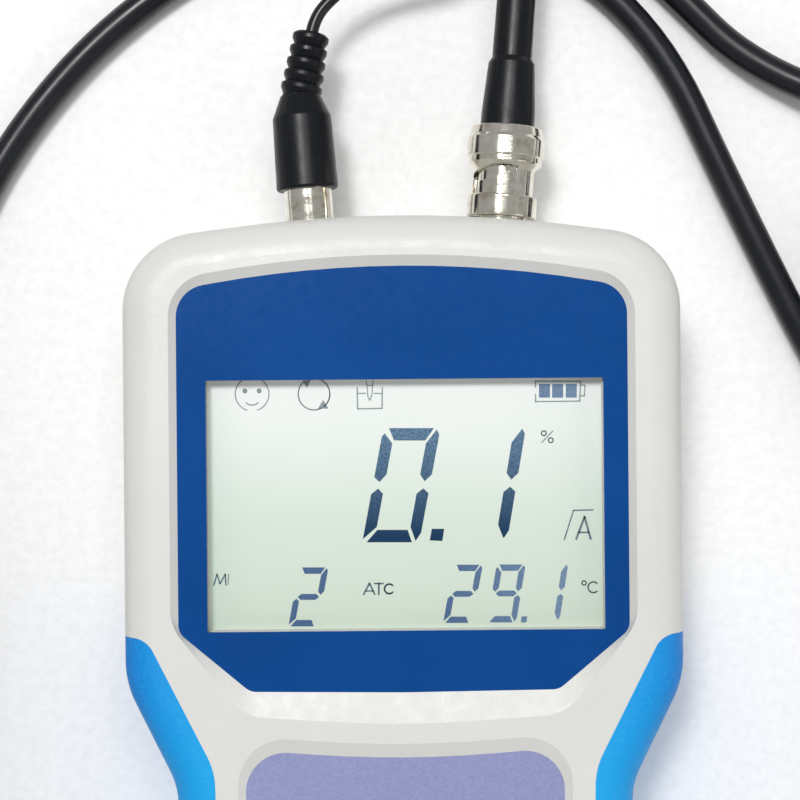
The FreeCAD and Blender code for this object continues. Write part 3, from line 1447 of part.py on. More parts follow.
os.makedirs("parts", exist_ok=True)
for piece in nodes:
    piece.Shape.exportStep(f"parts/{piece.Label}.step")
print(f"{len(nodes)} nodes written")
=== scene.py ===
import json
import math

import bpy
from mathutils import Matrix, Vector


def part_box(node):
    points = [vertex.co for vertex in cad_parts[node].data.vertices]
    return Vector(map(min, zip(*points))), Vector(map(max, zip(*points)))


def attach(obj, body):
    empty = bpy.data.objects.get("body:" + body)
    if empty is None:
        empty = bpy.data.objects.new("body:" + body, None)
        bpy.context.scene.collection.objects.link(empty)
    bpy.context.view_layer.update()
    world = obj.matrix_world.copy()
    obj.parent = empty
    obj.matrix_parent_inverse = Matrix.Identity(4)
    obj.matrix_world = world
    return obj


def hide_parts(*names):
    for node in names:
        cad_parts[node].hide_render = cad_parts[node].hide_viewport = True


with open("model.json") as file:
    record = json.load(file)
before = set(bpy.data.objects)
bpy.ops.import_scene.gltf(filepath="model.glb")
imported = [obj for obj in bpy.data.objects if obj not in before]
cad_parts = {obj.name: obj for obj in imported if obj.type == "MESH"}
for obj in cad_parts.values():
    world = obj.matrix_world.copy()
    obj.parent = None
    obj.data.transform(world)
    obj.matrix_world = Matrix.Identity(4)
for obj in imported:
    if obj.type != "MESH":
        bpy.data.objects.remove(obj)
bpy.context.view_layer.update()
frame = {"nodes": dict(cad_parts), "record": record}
nodes = frame["nodes"]
record = frame["record"]
MM = 0.001

# Camera: straight down on the display, at the photograph's distance, turned a little

EYE = Vector((-0.00036, 0.0532, 0.330))
ROLL = math.radians(0.5)
FOCAL = 1746.0
FRAME = 800
SENSOR = 36
NEAREST = 0.01
camera_data = bpy.data.cameras.new("camera")
camera_data.lens = FOCAL / FRAME * SENSOR
camera_data.sensor_width = SENSOR
camera_data.clip_start = NEAREST
camera = bpy.data.objects.new("camera", camera_data)
camera.location = EYE
camera.rotation_euler = (0, 0, -ROLL)
bpy.context.scene.collection.objects.link(camera)
bpy.context.scene.camera = camera


def at(pixel_x, pixel_y, z):
    """The point at one height that the photograph shows at a pixel."""
    scale = FOCAL / (EYE.z - z)
    right, up = (pixel_x - FRAME / 2) / scale, (FRAME / 2 - pixel_y) / scale
    return (right * math.cos(ROLL) + up * math.sin(ROLL) + EYE.x,
            up * math.cos(ROLL) - right * math.sin(ROLL) + EYE.y, z)


# Cords, in millimetres: the cable's whole route is one spline, from the plug over its loop,
# through the put-away coil and back over the arch to the probe

CABLE_DIAMETER = 5.5
CABLE = [
    (21.969, 134.137, 14.2), (24.009, 160.057, 14.2), (25.4, 184.5, 9.6), (13.4, 201.4, 5.4),
    (-6.5, 206.4, 3.2), (-24.3, 198.5, 2.8), (-32.8, 181.0, 2.8), (-28.4, 161.8, 2.8),
    (-12.4, 150.6, 2.8), (11.5, 152.0, 2.8), (33.5, 146.0, 2.8), (50.0, 131.0, 2.8),
    (66.0, 114.5, 3.4), (93.0, 103.8, 9.0), (120.93, 95.3, 8.6),
]
TAIL = [
    (81.6, 52.0, 2.8), (63.6, 88.2, 2.8), (46.6, 125.6, 2.8), (16.0, 144.0, 2.8),
    (-20.7, 143.6, 2.8), (-50.9, 127.0, 2.8), (-73.4, 102.3, 2.8), (-85.5, 76.0, 3.2),
    (-87.0, 60.0, 7.0), (-87.0, 46.0, 7.0),
]
LEAD_DIAMETER = 2.3
LEAD = [
    (-15.774, 119.558, 14.2), (-15.2, 122.5, 14.2), (-11.7, 126.3, 14.4),
    (-7.3, 129.4, 14.7), (-0.25, 131.9, 14.9), (9.484, 133.286, 14.4), (15.388, 137.047, 14.2),
]

# The coil: one turn on top of two that lie side by side on the table. Each lane says how many
# degrees the cable has turned in the coil, and its radius and its height there
COIL_CENTRE = (112.2, 66.6)
COIL_STEPS = 32
COIL_WHOLE_TURNS = 2
COIL_LANES = [
    (0, 30.0, 8.6), (30, 30.0, 8.3), (60, 30.0, 8.0), (230, 30.0, 8.0), (250, 29.8, 8.4),
    (290, 29.0, 8.4), (320, 26.9, 6.2), (350, 26.7, 3.4), (365, 27.2, 2.8), (590, 27.25, 2.8),
    (660, 32.75, 2.8), (1080, 32.75, 2.8),
]


def lane(turned):
    """The coil's radius and height after the cable has turned by an angle in degrees."""
    for (low, radius, height), (high, next_radius, next_height) in zip(COIL_LANES, COIL_LANES[1:]):
        if turned <= high:
            share = (turned - low) / (high - low)
            return (radius + share * (next_radius - radius),
                    height + share * (next_height - height))


def coil_turns(before, after):
    """Points of the coil, clockwise from its tangent through one point to the angle of another.

    A spline runs inside its points, so they lie a little outside the lane's radius."""
    centre_x, centre_y = COIL_CENTRE
    away_x, away_y = centre_x - before[0], centre_y - before[1]
    swing = math.asin(COIL_LANES[0][1] / math.hypot(away_x, away_y))
    first = math.degrees(math.atan2(away_y, away_x) + swing) + 90
    last = math.degrees(math.atan2(after[1] - centre_y, after[0] - centre_x))
    step = (first - last + 360 * COIL_WHOLE_TURNS) / COIL_STEPS
    points = []
    for count in range(1, COIL_STEPS):
        radius, height = lane(count * step)
        radius /= math.cos(math.radians(step / 2))
        angle = math.radians(first - count * step)
        point = (centre_x + radius * math.cos(angle), centre_y + radius * math.sin(angle), height)
        points.append(tuple(round(value, 2) for value in point))
    return points


def spline_cord(name, points, diameter):
    """A round cord along one smooth spline."""
    curve = bpy.data.curves.new(name, "CURVE")
    curve.dimensions = "3D"
    curve.bevel_depth = 1.0
    curve.bevel_resolution = 7
    curve.resolution_u = 10
    curve.use_fill_caps = True
    spline = curve.splines.new("NURBS")
    spline.points.add(len(points) - 1)
    for slot, (x, y, z) in zip(spline.points, points):
        slot.co = (x * MM, y * MM, z * MM, 1)
        slot.radius = diameter / 2 * MM
    spline.order_u = 3
    spline.use_endpoint_u = True
    cord = bpy.data.objects.new(name, curve)
    bpy.context.scene.collection.objects.link(cord)
    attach(cord, "meter")
    return cord


coil = coil_turns(CABLE[-2], TAIL[0])
cable = spline_cord("cable", CABLE + coil + TAIL, CABLE_DIAMETER)
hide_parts("probe_cable", "cable_coil", "cable_tail")
lead = spline_cord("lead", LEAD, LEAD_DIAMETER)
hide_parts("temperature_lead")


# Materials: lengths in metres, scales of noise and cells per metre

class Paint:
    """Short words for building one material's nodes."""

    def __init__(self, name):
        self.material = bpy.data.materials.new(name)
        self.material.use_nodes = True
        self.tree = self.material.node_tree
        self.shader = self.tree.nodes["Principled BSDF"]
        self.place = self.tree.nodes.new("ShaderNodeTexCoord").outputs["Object"]

    def set(self, **values):
        """Uniform values on the shader's own sockets."""
        for key, value in values.items():
            self.shader.inputs[key.replace("_", " ")].default_value = value

    def link(self, source, target):
        self.tree.links.new(source, target)

    def noise(self, scale, detail=2.0, rough=0.5, stretch=None):
        """Cloudy noise, drawn out along the axes whose stretch is small."""
        node = self.tree.nodes.new("ShaderNodeTexNoise")
        node.inputs["Scale"].default_value = scale
        node.inputs["Detail"].default_value = detail
        node.inputs["Roughness"].default_value = rough
        place = self.place
        if stretch:
            mapping = self.tree.nodes.new("ShaderNodeMapping")
            mapping.inputs["Scale"].default_value = stretch
            self.link(place, mapping.inputs["Vector"])
            place = mapping.outputs["Vector"]
        self.link(place, node.inputs["Vector"])
        return node.outputs["Fac"]

    def cells(self, scale):
        """Distance from the nearest of many scattered points."""
        node = self.tree.nodes.new("ShaderNodeTexVoronoi")
        node.inputs["Scale"].default_value = scale
        self.link(self.place, node.inputs["Vector"])
        return node.outputs["Distance"]

    def axis(self, letter):
        """One coordinate of the piece."""
        node = self.tree.nodes.new("ShaderNodeSeparateXYZ")
        self.link(self.place, node.inputs[0])
        return node.outputs[letter]

    def math(self, operation, *values):
        """Arithmetic on numbers and node outputs."""
        node = self.tree.nodes.new("ShaderNodeMath")
        node.operation = operation
        for slot, value in zip(node.inputs, values):
            if isinstance(value, (int, float)):
                slot.default_value = value
            else:
                self.link(value, slot)
        return node.outputs[0]

    def span(self, source, low, high, to_low=0.0, to_high=1.0):
        """A stretch of values moved onto another, held at its ends."""
        node = self.tree.nodes.new("ShaderNodeMapRange")
        for slot, value in zip(node.inputs[1:5], (low, high, to_low, to_high)):
            slot.default_value = value
        self.link(source, node.inputs[0])
        return node.outputs[0]

    def ramp(self, source, *stops):
        """Colours along a value, from stops of a place and a colour."""
        node = self.tree.nodes.new("ShaderNodeValToRGB")
        ramp = node.color_ramp
        while len(ramp.elements) < len(stops):
            ramp.elements.new(0.5)
        for element, (where, colour) in zip(ramp.elements, stops):
            element.position = where
            element.color = (*colour, 1)
        self.link(source, node.inputs[0])
        return node.outputs[0]

    def mix(self, share, base, over):
        """A base colour with a share of another over it."""
        node = self.tree.nodes.new("ShaderNodeMix")
        node.data_type = "RGBA"
        for slot, value in ((node.inputs[0], share), (node.inputs[6], base), (node.inputs[7], over)):
            if isinstance(value, tuple):
                slot.default_value = (*value, 1)
            else:
                self.link(value, slot)
        return node.outputs[2]

    def colour(self, source):
        self.link(source, self.shader.inputs["Base Color"])

    def rough(self, source, low, high):
        """Roughness that follows the middle of a noise's values."""
        self.link(self.span(source, 0.3, 0.7, low, high), self.shader.inputs["Roughness"])

    def bump(self, source, depth, strength=1.0, base=None):
        """Relief of one depth, on top of another relief where one is given."""
        node = self.tree.nodes.new("ShaderNodeBump")
        node.inputs["Strength"].default_value = strength
        node.inputs["Distance"].default_value = depth
        self.link(source, node.inputs["Height"])
        if base is not None:
            self.link(base, node.inputs["Normal"])
        self.link(node.outputs[0], self.shader.inputs["Normal"])
        return node.outputs[0]


def shade(colour, factor):
    """A colour made lighter or darker."""
    return tuple(min(1.0, channel * factor) for channel in colour)


def housing_plastic():
    """Light warm grey with a fine spark-eroded texture, faint clouds and the shells' joint line."""
    grey = (0.700, 0.703, 0.672)
    speck_grey = (0.52, 0.51, 0.47)
    joint_grey = (0.10, 0.10, 0.095)
    joint_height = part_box("rear_housing")[1][2]
    joint_half_width = 0.00012
    joint_share = 0.75
    paint = Paint("housing_plastic")
    clouds = paint.noise(26, detail=5, rough=0.62)
    tone = paint.ramp(clouds, (0.3, shade(grey, 0.965)), (0.55, grey), (0.72, shade(grey, 1.03)))
    specks = paint.span(paint.noise(2400, detail=1), low=0.60, high=0.78, to_high=0.10)
    tone = paint.mix(specks, tone, speck_grey)
    off_joint = paint.math("ABSOLUTE", paint.math("SUBTRACT", paint.axis("Z"), joint_height))
    joint = paint.math("LESS_THAN", off_joint, joint_half_width)
    paint.colour(paint.mix(paint.math("MULTIPLY", joint, joint_share), tone, joint_grey))
    paint.rough(paint.noise(420, detail=3), low=0.36, high=0.50)
    pits = paint.bump(paint.cells(1500), depth=0.00003, strength=0.5)
    paint.bump(paint.noise(3600), depth=0.00003, strength=0.5, base=pits)
    return paint.material


def grip_rubber():
    """Bright blue matt rubber with painted shade that darkens it towards the outside, and a fine pale
    speckle.
    """
    lit_inner_blue = (0.008, 0.370, 0.800)
    middle_blue = (0.006, 0.300, 0.740)
    shaded_outer_blue = (0.003, 0.180, 0.620)
    speck_blue = (0.020, 0.430, 0.850)
    paint = Paint("grip_rubber")
    # Painted shade: the blue darkens from the inner edge to the outer edge, where the curved side
    # turns away from the light.
    painted_shade_outward = paint.span(paint.math("ABSOLUTE", paint.axis("X")), low=0.033, high=0.049)
    tone = paint.ramp(painted_shade_outward, (0.0, lit_inner_blue), (0.5, middle_blue), (1.0, shaded_outer_blue))
    specks = paint.span(paint.noise(1900), low=0.50, high=0.74, to_high=0.35)
    paint.colour(paint.mix(specks, tone, speck_blue))
    paint.set(Specular_IOR_Level=0.25)
    paint.rough(paint.noise(300, detail=3), low=0.44, high=0.60)
    pits = paint.bump(paint.cells(1100), depth=0.00006, strength=0.6)
    paint.bump(paint.noise(2800), depth=0.00004, strength=0.6, base=pits)
    return paint.material


def panel_film():
    """Deep blue printed film with a faint matt stipple."""
    blue = (0.0030, 0.060, 0.255)
    paint = Paint("panel_film")
    clouds = paint.noise(30, detail=4)
    paint.colour(paint.ramp(clouds, (0.35, shade(blue, 0.93)), (0.5, blue), (0.66, shade(blue, 1.08))))
    paint.set(Specular_IOR_Level=0.12)
    paint.rough(paint.noise(700), low=0.16, high=0.22)
    paint.bump(paint.noise(5200, detail=1), depth=0.000004, strength=0.3)
    return paint.material


def window_clear():
    """Clear pane: only its gloss and faint smears show."""
    paint = Paint("window_clear")
    paint.set(Base_Color=(0.05, 0.06, 0.055, 1), Alpha=0.03, Specular_IOR_Level=0.3)
    paint.rough(paint.noise(55, detail=5, rough=0.7), low=0.03, high=0.12)
    paint.bump(paint.noise(120), depth=0.000004, strength=0.3)
    return paint.material


def lcd_glass():
    """Pale green-white display glass, a little greener low down and at the left, and paler towards the
    top with painted reflected haze.
    """
    low_green = (0.66, 0.76, 0.64)
    middle_green = (0.72, 0.83, 0.73)
    painted_haze_white = (0.965, 0.99, 0.965)
    left_green = (0.55, 0.70, 0.58)
    cloud_green = (0.66, 0.82, 0.70)
    paint = Paint("lcd_glass")
    # Painted reflection: the glass pales to near white towards the top, standing in for the lamps'
    # haze on it.
    painted_haze_upward = paint.span(paint.axis("Y"), low=0.014, high=0.056)
    tone = paint.ramp(painted_haze_upward, (0.0, low_green), (0.45, middle_green), (1.0, painted_haze_white))
    left = paint.span(paint.axis("X"), low=-0.034, high=-0.026, to_low=0.22, to_high=0.0)
    tone = paint.mix(left, tone, left_green)
    clouds = paint.span(paint.noise(60, detail=3), low=0.4, high=0.7, to_high=0.12)
    paint.colour(paint.mix(clouds, tone, cloud_green))
    paint.rough(paint.noise(2000, detail=1), low=0.42, high=0.52)
    paint.bump(paint.noise(6000, detail=1), depth=0.000006, strength=0.4)
    return paint.material


def lcd_marks():
    """Large digits: navy liquid crystal under a speckled painted reflection haze that grows towards
    the top.
    """
    navy = (0.006, 0.040, 0.105)
    haze_blue = (0.20, 0.34, 0.50)
    paint = Paint("lcd_marks")
    painted_haze_upward = paint.span(paint.axis("Y"), low=0.030, high=0.047)
    grit = paint.span(paint.noise(2600, rough=0.7), low=0.36, high=0.66)
    speckle = paint.math("ADD", paint.math("MULTIPLY", grit, 0.55), 0.30)
    # Painted reflection: a speckled pale haze is laid over the navy, stronger towards the top.
    paint.colour(paint.mix(paint.math("MULTIPLY", speckle, painted_haze_upward), navy, haze_blue))
    paint.set(Roughness=0.5, Specular_IOR_Level=0.1)
    paint.bump(grit, depth=0.000005, strength=0.2)
    return paint.material


def lcd_marks_small():
    """Small digits and charge bars: blue liquid crystal, paler and speckled towards the right."""
    blue = (0.045, 0.105, 0.245)
    haze_blue = (0.30, 0.42, 0.56)
    paint = Paint("lcd_marks_small")
    grit = paint.span(paint.noise(3000, rough=0.7), low=0.36, high=0.66)
    rightward = paint.span(paint.axis("X"), low=0.006, high=0.034, to_low=0.12, to_high=0.62)
    speckle = paint.math("MULTIPLY", paint.math("ADD", grit, 0.6), rightward)
    paint.colour(paint.mix(speckle, blue, haze_blue))
    paint.set(Roughness=0.5, Specular_IOR_Level=0.1)
    paint.bump(grit, depth=0.000005, strength=0.2)
    return paint.material


def lcd_icons():
    """Thin signs: grey-blue, made paler towards the top with painted reflected haze, and with pale
    grit.
    """
    low_blue = (0.045, 0.105, 0.150)
    painted_haze_grey = (0.27, 0.33, 0.34)
    grit_grey = (0.40, 0.48, 0.47)
    paint = Paint("lcd_icons")
    # Painted reflection: the signs pale towards the top, standing in for the lamps' haze on the
    # display.
    tone = paint.mix(paint.span(paint.axis("Y"), low=0.022, high=0.050), low_blue, painted_haze_grey)
    grit = paint.span(paint.noise(1800), low=0.35, high=0.7, to_high=0.35)
    paint.colour(paint.mix(grit, tone, grit_grey))
    paint.set(Roughness=0.5, Specular_IOR_Level=0.1)
    paint.bump(paint.noise(3000, detail=1), depth=0.000004, strength=0.2)
    return paint.material


def overlay_film():
    """Lavender keypad film, grainy and cloudy, with a soft sheen."""
    lilac = (0.262, 0.285, 0.505)
    paint = Paint("overlay_film")
    grain = paint.noise(2100, detail=3, rough=0.7)
    tone = paint.ramp(grain, (0.30, shade(lilac, 0.86)), (0.5, lilac), (0.70, shade(lilac, 1.12)))
    clouds = paint.span(paint.noise(60, detail=3), low=0.4, high=0.65, to_high=0.16)
    paint.colour(paint.mix(clouds, tone, shade(lilac, 1.15)))
    paint.rough(paint.noise(500, detail=3), low=0.34, high=0.50)
    paint.bump(paint.noise(1500, detail=3), depth=0.00003, strength=0.6)
    return paint.material


def nickel_brass():
    """Nickel-plated brass: bright, with fine turning marks round the axis and faint tarnish."""
    tarnish = (0.56, 0.51, 0.40)
    nickel = (0.76, 0.725, 0.635)
    bright = (0.90, 0.88, 0.82)
    paint = Paint("nickel_brass")
    clouds = paint.noise(420, detail=4, rough=0.6)
    paint.colour(paint.ramp(clouds, (0.30, tarnish), (0.46, nickel), (0.75, bright)))
    paint.set(Metallic=1.0)
    paint.rough(paint.noise(600, detail=3), low=0.08, high=0.18)
    turning_marks = paint.noise(900, stretch=(0.15, 7.0, 0.15))
    paint.bump(turning_marks, depth=0.000012, strength=0.5)
    return paint.material


def boot_plastic():
    """Black satin mouldings round the plugs, with a very fine grain and long scuffs."""
    black = (0.005, 0.006, 0.008)
    scuff_grey = (0.022, 0.024, 0.029)
    paint = Paint("boot_plastic")
    streaks = paint.noise(700, detail=4, rough=0.7, stretch=(1.0, 0.25, 1.0))
    paint.colour(paint.mix(paint.span(streaks, low=0.58, high=0.75, to_high=0.5), black, scuff_grey))
    paint.set(Specular_IOR_Level=0.25)
    paint.rough(paint.noise(260, detail=3), low=0.28, high=0.40)
    dents = paint.bump(paint.noise(420, detail=3), depth=0.00006, strength=0.4)
    paint.bump(paint.noise(2600), depth=0.00002, strength=0.6, base=dents)
    return paint.material


def cable_jacket():
    """Smooth dark vinyl with faint bloom and soft dents."""
    black = (0.006, 0.007, 0.010)
    bloom_grey = (0.022, 0.024, 0.030)
    paint = Paint("cable_jacket")
    bloom = paint.span(paint.noise(260, detail=4, rough=0.7), low=0.55, high=0.80, to_high=0.55)
    paint.colour(paint.mix(bloom, black, bloom_grey))
    paint.rough(paint.noise(140, detail=3), low=0.26, high=0.38)
    dents = paint.bump(paint.noise(180), depth=0.00008, strength=0.25)
    paint.bump(paint.noise(2400), depth=0.00001, strength=0.5, base=dents)
    paint.set(Specular_IOR_Level=0.35, Coat_Weight=0.08, Coat_Roughness=0.2)
    return paint.material


def battery_can():
    """Cells: a dark printed can with a brass-coloured band towards the meter's head end."""
    print_black = (0.030, 0.031, 0.034)
    brass = (0.62, 0.40, 0.14)
    dull_grey = (0.50, 0.47, 0.40)
    paint = Paint("battery_can")
    tone = paint.mix(paint.span(paint.axis("Y"), low=-0.0290, high=-0.0288), print_black, brass)
    dulling = paint.span(paint.noise(300, detail=4), low=0.45, high=0.75, to_high=0.25)
    paint.colour(paint.mix(dulling, tone, dull_grey))
    paint.set(Metallic=0.75)
    paint.rough(paint.noise(500, detail=3), low=0.20, high=0.36)
    paint.bump(paint.noise(900), depth=0.000010, strength=0.4)
    return paint.material


def circuit_board():
    """Green lacquer, clouded, over faint copper runs."""
    cloud_green = (0.02, 0.09, 0.035)
    paint = Paint("circuit_board")
    runs = paint.tree.nodes.new("ShaderNodeTexBrick")
    for key, value in {
            "Scale": 260.0, "Mortar Size": 0.035, "Brick Width": 1.6, "Row Height": 0.5,
            "Color1": (0.010, 0.120, 0.040, 1), "Color2": (0.012, 0.150, 0.048, 1),
            "Mortar": (0.030, 0.240, 0.075, 1)}.items():
        runs.inputs[key].default_value = value
    paint.link(paint.place, runs.inputs["Vector"])
    clouds = paint.span(paint.noise(900, detail=3), low=0.45, high=0.8, to_high=0.35)
    paint.colour(paint.mix(clouds, runs.outputs["Color"], cloud_green))
    paint.rough(paint.noise(400), low=0.24, high=0.36)
    paint.bump(runs.outputs["Fac"], depth=0.00002, strength=0.6)
    return paint.material


def table_cover():
    """White table with a faint mottle."""
    shaded_white = (0.905, 0.905, 0.902)
    white = (0.955, 0.955, 0.952)
    paint = Paint("table")
    paint.colour(paint.ramp(paint.noise(520, detail=4, rough=0.6), (0.35, shaded_white), (0.6, white)))
    paint.rough(paint.noise(500, detail=3), low=0.5, high=0.7)
    paint.bump(paint.noise(900, detail=3), depth=0.00008, strength=0.5)
    return paint.material


def plain_material(name, colour, rough, grain, depth, metal=0.0):
    """Moulded or coated surface: mottled colour, uneven roughness and a fine grain."""
    mottle = 0.06
    spread = 0.08
    paint = Paint(name)
    paint.set(Metallic=metal)
    clouds = paint.noise(38, detail=4, rough=0.6)
    paint.colour(paint.ramp(clouds, (0.32, shade(colour, 1 - mottle)), (0.5, colour),
                            (0.68, shade(colour, 1 + mottle))))
    paint.rough(paint.noise(160, detail=3), low=rough - spread, high=rough + spread)
    paint.bump(paint.noise(grain), depth)
    return paint.material


PLAIN_SURFACES = {
    "diffuser": dict(colour=(0.80, 0.84, 0.80), rough=0.42, grain=2200, depth=0.000010),
    "inner_plastic": dict(colour=(0.040, 0.041, 0.045), rough=0.46, grain=1800, depth=0.000025),
    "component_black": dict(colour=(0.022, 0.022, 0.024), rough=0.40, grain=2800, depth=0.000015),
    "key_rubber": dict(colour=(0.235, 0.240, 0.262), rough=0.50, grain=2400, depth=0.000025),
    "insulator_white": dict(colour=(0.80, 0.80, 0.77), rough=0.36, grain=1800, depth=0.000010),
    "black_rubber": dict(colour=(0.016, 0.016, 0.018), rough=0.52, grain=2000, depth=0.000025),
    "probe_plastic": dict(colour=(0.020, 0.020, 0.023), rough=0.38, grain=2200, depth=0.000025),
    "cap_plastic": dict(colour=(0.48, 0.49, 0.49), rough=0.40, grain=2000, depth=0.000015),
    "membrane_film": dict(colour=(0.78, 0.78, 0.78), rough=0.30, grain=3000, depth=0.000005),
    "plated_steel": dict(colour=(0.62, 0.62, 0.60), rough=0.26, grain=1400, depth=0.000010, metal=1.0),
    "gold_contact": dict(colour=(0.86, 0.60, 0.24), rough=0.20, grain=1400, depth=0.000006, metal=1.0),
    "silver_anode": dict(colour=(0.72, 0.72, 0.71), rough=0.30, grain=1500, depth=0.000008, metal=1.0),
}
materials = {name: plain_material(name, **values) for name, values in PLAIN_SURFACES.items()}
for build in (housing_plastic, grip_rubber, panel_film, window_clear, lcd_glass, lcd_marks,
              lcd_marks_small, lcd_icons, overlay_film, nickel_brass, boot_plastic, cable_jacket,
              battery_can, circuit_board):
    materials[build.__name__] = build()

for cord in (cable, lead):
    cord.data.materials.append(materials["cable_jacket"])
for part in record["subparts"]:
    nodes[part["node"]].material_slots[0].material = materials[part["material_slot"]]


# Marks on the display, drawn as thin shapes on the glass. Their drawing starts at one pixel of
# the photograph, and its unit is a fraction of a pixel

MARK_GAP = 0.00003
MARK_THICKNESS = 0.00002
MARK_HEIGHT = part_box("lcd_glass")[1][2] + MARK_GAP
DRAWING_LEFT = 190
DRAWING_TOP = 370
UNITS_PER_PIXEL = 3.7333


def draw(name, outlines, material):
    """Thin closed plates on the glass, from outlines given as points of the display drawing."""
    vertices, faces = [], []
    for outline in outlines:
        start = len(vertices)
        count = len(outline)
        foot = [at(DRAWING_LEFT + x / UNITS_PER_PIXEL, DRAWING_TOP + y / UNITS_PER_PIXEL, MARK_HEIGHT)
                for x, y in outline]
        vertices += foot
        vertices += [(x, y, z + MARK_THICKNESS) for x, y, z in foot]
        faces.append(list(range(start + count, start + 2 * count)))
        faces.append(list(range(start + count - 1, start - 1, -1)))
        for corner in range(count):
            following = (corner + 1) % count
            faces.append([start + corner, start + following,
                          start + count + following, start + count + corner])
    mesh = bpy.data.meshes.new(name)
    mesh.from_pydata(vertices, [], faces)
    mesh.update()
    mesh.materials.append(materials[material])
    piece = bpy.data.objects.new(name, mesh)
    bpy.context.scene.collection.objects.link(piece)
    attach(piece, "meter")


# Each straight run of a stroke reaches past its ends by this share of its width
STROKE_REACH = 0.3


def stroke(points, width):
    """Outlines of a pen stroke of one width along points of the display drawing."""
    out = []
    for (x0, y0), (x1, y1) in zip(points, points[1:]):
        length = math.hypot(x1 - x0, y1 - y0)
        side_x, side_y = -(y1 - y0) / length * width / 2, (x1 - x0) / length * width / 2
        end_x = (x1 - x0) / length * width * STROKE_REACH
        end_y = (y1 - y0) / length * width * STROKE_REACH
        out.append([(x0 + side_x - end_x, y0 + side_y - end_y),
                    (x0 - side_x - end_x, y0 - side_y - end_y),
                    (x1 - side_x + end_x, y1 - side_y + end_y),
                    (x1 + side_x + end_x, y1 + side_y + end_y)])
    return out


def arc(x, y, radius, start=0.0, end=360.0, steps=36):
    """Points on a circle of the display drawing; angles run clockwise from the right."""
    return [(x + radius * math.cos(math.radians(start + (end - start) * k / steps)),
             y + radius * math.sin(math.radians(start + (end - start) * k / steps)))
            for k in range(steps + 1)]


# Outlines of a digit's seven bars, in shares of its width and height
SEGMENTS = {
    "a": [(0.10, 0.000), (0.885, 0.000), (0.775, 0.108), (0.225, 0.108)],
    "b": [(0.940, 0.012), (1.000, 0.055), (1.000, 0.405), (0.895, 0.465), (0.795, 0.405),
          (0.795, 0.135)],
    "c": [(0.895, 0.528), (1.000, 0.570), (1.000, 0.915), (0.930, 0.988), (0.795, 0.865),
          (0.795, 0.575)],
    "d": [(0.225, 0.892), (0.755, 0.892), (0.870, 1.000), (0.075, 1.000)],
    "e": [(0.105, 0.530), (0.205, 0.575), (0.205, 0.865), (0.000, 0.972), (0.000, 0.580)],
    "f": [(0.040, 0.045), (0.205, 0.135), (0.205, 0.405), (0.105, 0.472), (0.000, 0.430),
          (0.000, 0.075)],
    "g": [(0.130, 0.500), (0.245, 0.450), (0.755, 0.450), (0.860, 0.500), (0.755, 0.550),
          (0.245, 0.550)],
}


def digit(lit, left, top, width, height, lean):
    """Outlines of the lit bars of one seven-bar digit."""
    return [[(left + x * width - y * height * lean, top + y * height) for x, y in SEGMENTS[bar]]
            for bar in lit]


def large_digits():
    """The reading, with its decimal point."""
    point = [(903, 593), (949, 593), (942, 638), (895, 636)]
    return [*digit("abcdef", left=722, top=217, width=213, height=426, lean=0.185),
            *digit("bc", left=1040, top=214, width=214, height=420, lean=0.165), point]


def small_digits():
    """The memory's number and the temperature, with its decimal point."""
    point = [(1238, 920), (1259, 920), (1256, 942), (1235, 942)]
    return [*digit("abged", left=408, top=737, width=109, height=220, lean=0.185),
            *digit("abged", left=985, top=727, width=108, height=217, lean=0.185),
            *digit("abcdfg", left=1145, top=726, width=108, height=216, lean=0.165),
            *digit("bc", left=1305, top=724, width=107, height=212, lean=0.155), point]


def face_sign():
    """A smiling face in a ring that is open at its foot."""
    ring = arc(232, 90, radius=63, start=108, end=432)
    mouth = arc(232, 98, radius=33, start=45, end=135, steps=10)
    eyes = [arc(x, 78, radius=9.5, steps=14)[:-1] for x in (205, 258)]
    return stroke(ring, width=3.4) + stroke(mouth, width=3.6) + eyes


def turning_sign():
    """Two arrows that run round a ring."""
    out = []
    for start, end in ((0, 52), (62, 230), (250, 360)):
        out += stroke(arc(463, 90, radius=59, start=start, end=end), width=4)
    low_head = [(478, 144), (517, 144), (497, 112)]
    high_head = [(420, 40), (450, 38), (437, 66)]
    return out + [low_head, high_head]


def beaker_sign():
    """A probe in a beaker."""
    beaker = [(624, 65), (626, 145), (717, 143), (718, 65)]
    left_level = [(627, 88), (655, 87)]
    right_level = [(686, 87), (716, 88)]
    probe = [(657, 40), (661, 58), (664, 98), (671, 113), (678, 98), (682, 58), (684, 40)]
    collar = [(661, 58), (682, 58)]
    return (stroke(beaker, width=4.5) + stroke(left_level, width=4) + stroke(right_level, width=4)
            + stroke(probe, width=3.5) + stroke(collar, width=3))


def battery_sign():
    """The outline of a cell with its tip."""
    can = [(1290, 64), (1290, 42), (1458, 42), (1455, 116), (1290, 118), (1290, 90)]
    tip = [(1460, 56), (1475, 57), (1472, 96), (1457, 97)]
    return stroke(can, width=4.5) + stroke(tip, width=4)


def charge_bars():
    """Three bars inside the cell."""
    top, bottom, width = 52, 103, 41
    return [[(left, top), (left + width, top), (left + width, bottom), (left, bottom)]
            for left in (1303, 1352, 1403)]


def percent_sign():
    rings = [arc(1321, 236, radius=9, steps=20), arc(1347, 262, radius=9, steps=20)]
    bar = [(1313, 271), (1354, 228)]
    return stroke(rings[0], width=4) + stroke(rings[1], width=4) + stroke(bar, width=4)


def slope_sign():
    """A letter A below a slanted line."""
    line = [(1397, 634), (1432, 524), (1505, 522)]
    legs = [(1442, 631), (1473, 548), (1496, 631)]
    bar = [(1451, 606), (1489, 606)]
    return stroke(line, width=5) + stroke(legs, width=8) + stroke(bar, width=6)


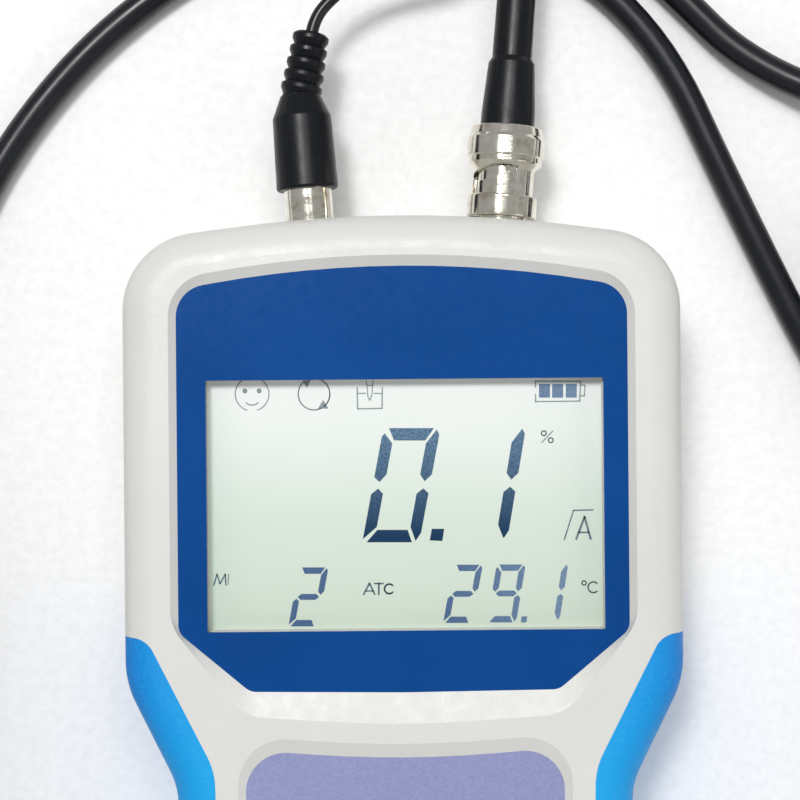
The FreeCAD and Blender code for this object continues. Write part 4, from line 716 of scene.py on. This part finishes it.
def memory_sign():
    """A letter M and a thin bar."""
    letter = [(89, 803), (101, 762), (112, 798), (132, 762), (134, 803)]
    bar = [(144, 762), (142, 802)]
    return stroke(letter, width=5) + stroke(bar, width=2.5)


def compensation_sign():
    """The letters A, T and C."""
    a_legs = [(648, 838), (670, 796), (690, 838)]
    a_bar = [(656, 825), (684, 825)]
    t_bar = [(688, 797), (722, 797)]
    t_stem = [(705, 797), (705, 838)]
    c_bow = arc(744, 817, radius=18, start=42, end=318, steps=16)
    return (stroke(a_legs, width=6) + stroke(a_bar, width=5) + stroke(t_bar, width=6)
            + stroke(t_stem, width=6) + stroke(c_bow, width=6))


def celsius_sign():
    degree = arc(1471, 795, radius=8, steps=18)
    c_bow = arc(1506, 811, radius=20, start=45, end=315, steps=16)
    return stroke(degree, width=4) + stroke(c_bow, width=5)


draw("large_digits", large_digits(), "lcd_marks")
draw("small_digits", small_digits(), "lcd_marks_small")
draw("icons", [*face_sign(), *turning_sign(), *beaker_sign(), *battery_sign(), *percent_sign(),
               *slope_sign(), *memory_sign(), *compensation_sign(), *celsius_sign()], "lcd_icons")
draw("charge_bars", charge_bars(), "lcd_marks_small")


# Floor, a little below the part so that no two faces lie in one plane

FLOOR_REACH = 3
FLOOR_HEIGHT = -0.0001
corners = [(x * FLOOR_REACH, y * FLOOR_REACH, FLOOR_HEIGHT)
           for x, y in ((-1, -1), (1, -1), (1, 1), (-1, 1))]
floor_mesh = bpy.data.meshes.new("floor")
floor_mesh.from_pydata(corners, [], [(0, 1, 2, 3)])
floor_mesh.materials.append(table_cover())
floor = bpy.data.objects.new("floor", floor_mesh)
bpy.context.scene.collection.objects.link(floor)


# Light: three soft lights and an even white room

ROOM_WHITE = (1.0, 1.0, 1.0, 1)
ROOM_STRENGTH = 0.38


def light(name, place, target, size, power):
    """A rectangular soft light that faces a point."""
    data = bpy.data.lights.new(name, "AREA")
    data.shape = "RECTANGLE"
    data.size, data.size_y = size
    data.energy = power
    lamp = bpy.data.objects.new(name, data)
    lamp.location = place
    lamp.rotation_euler = (Vector(target) - Vector(place)).to_track_quat("-Z", "Y").to_euler()
    bpy.context.scene.collection.objects.link(lamp)


light("window", place=(-0.08, 0.50, 1.30), target=(-0.08, 0.12, 0), size=(0.95, 0.34), power=6.6)
light("key", place=(-0.26, 0.48, 1.35), target=(0, 0.06, 0), size=(0.24, 0.24), power=7.2)
light("side", place=(1.15, -0.30, 0.70), target=(0, 0.05, 0), size=(0.7, 0.7), power=2.0)
world = bpy.data.worlds.new("room")
world.use_nodes = True
background = world.node_tree.nodes["Background"]
background.inputs["Color"].default_value = ROOM_WHITE
background.inputs["Strength"].default_value = ROOM_STRENGTH
bpy.context.scene.world = world
bpy.context.scene.view_settings.view_transform = "Standard"
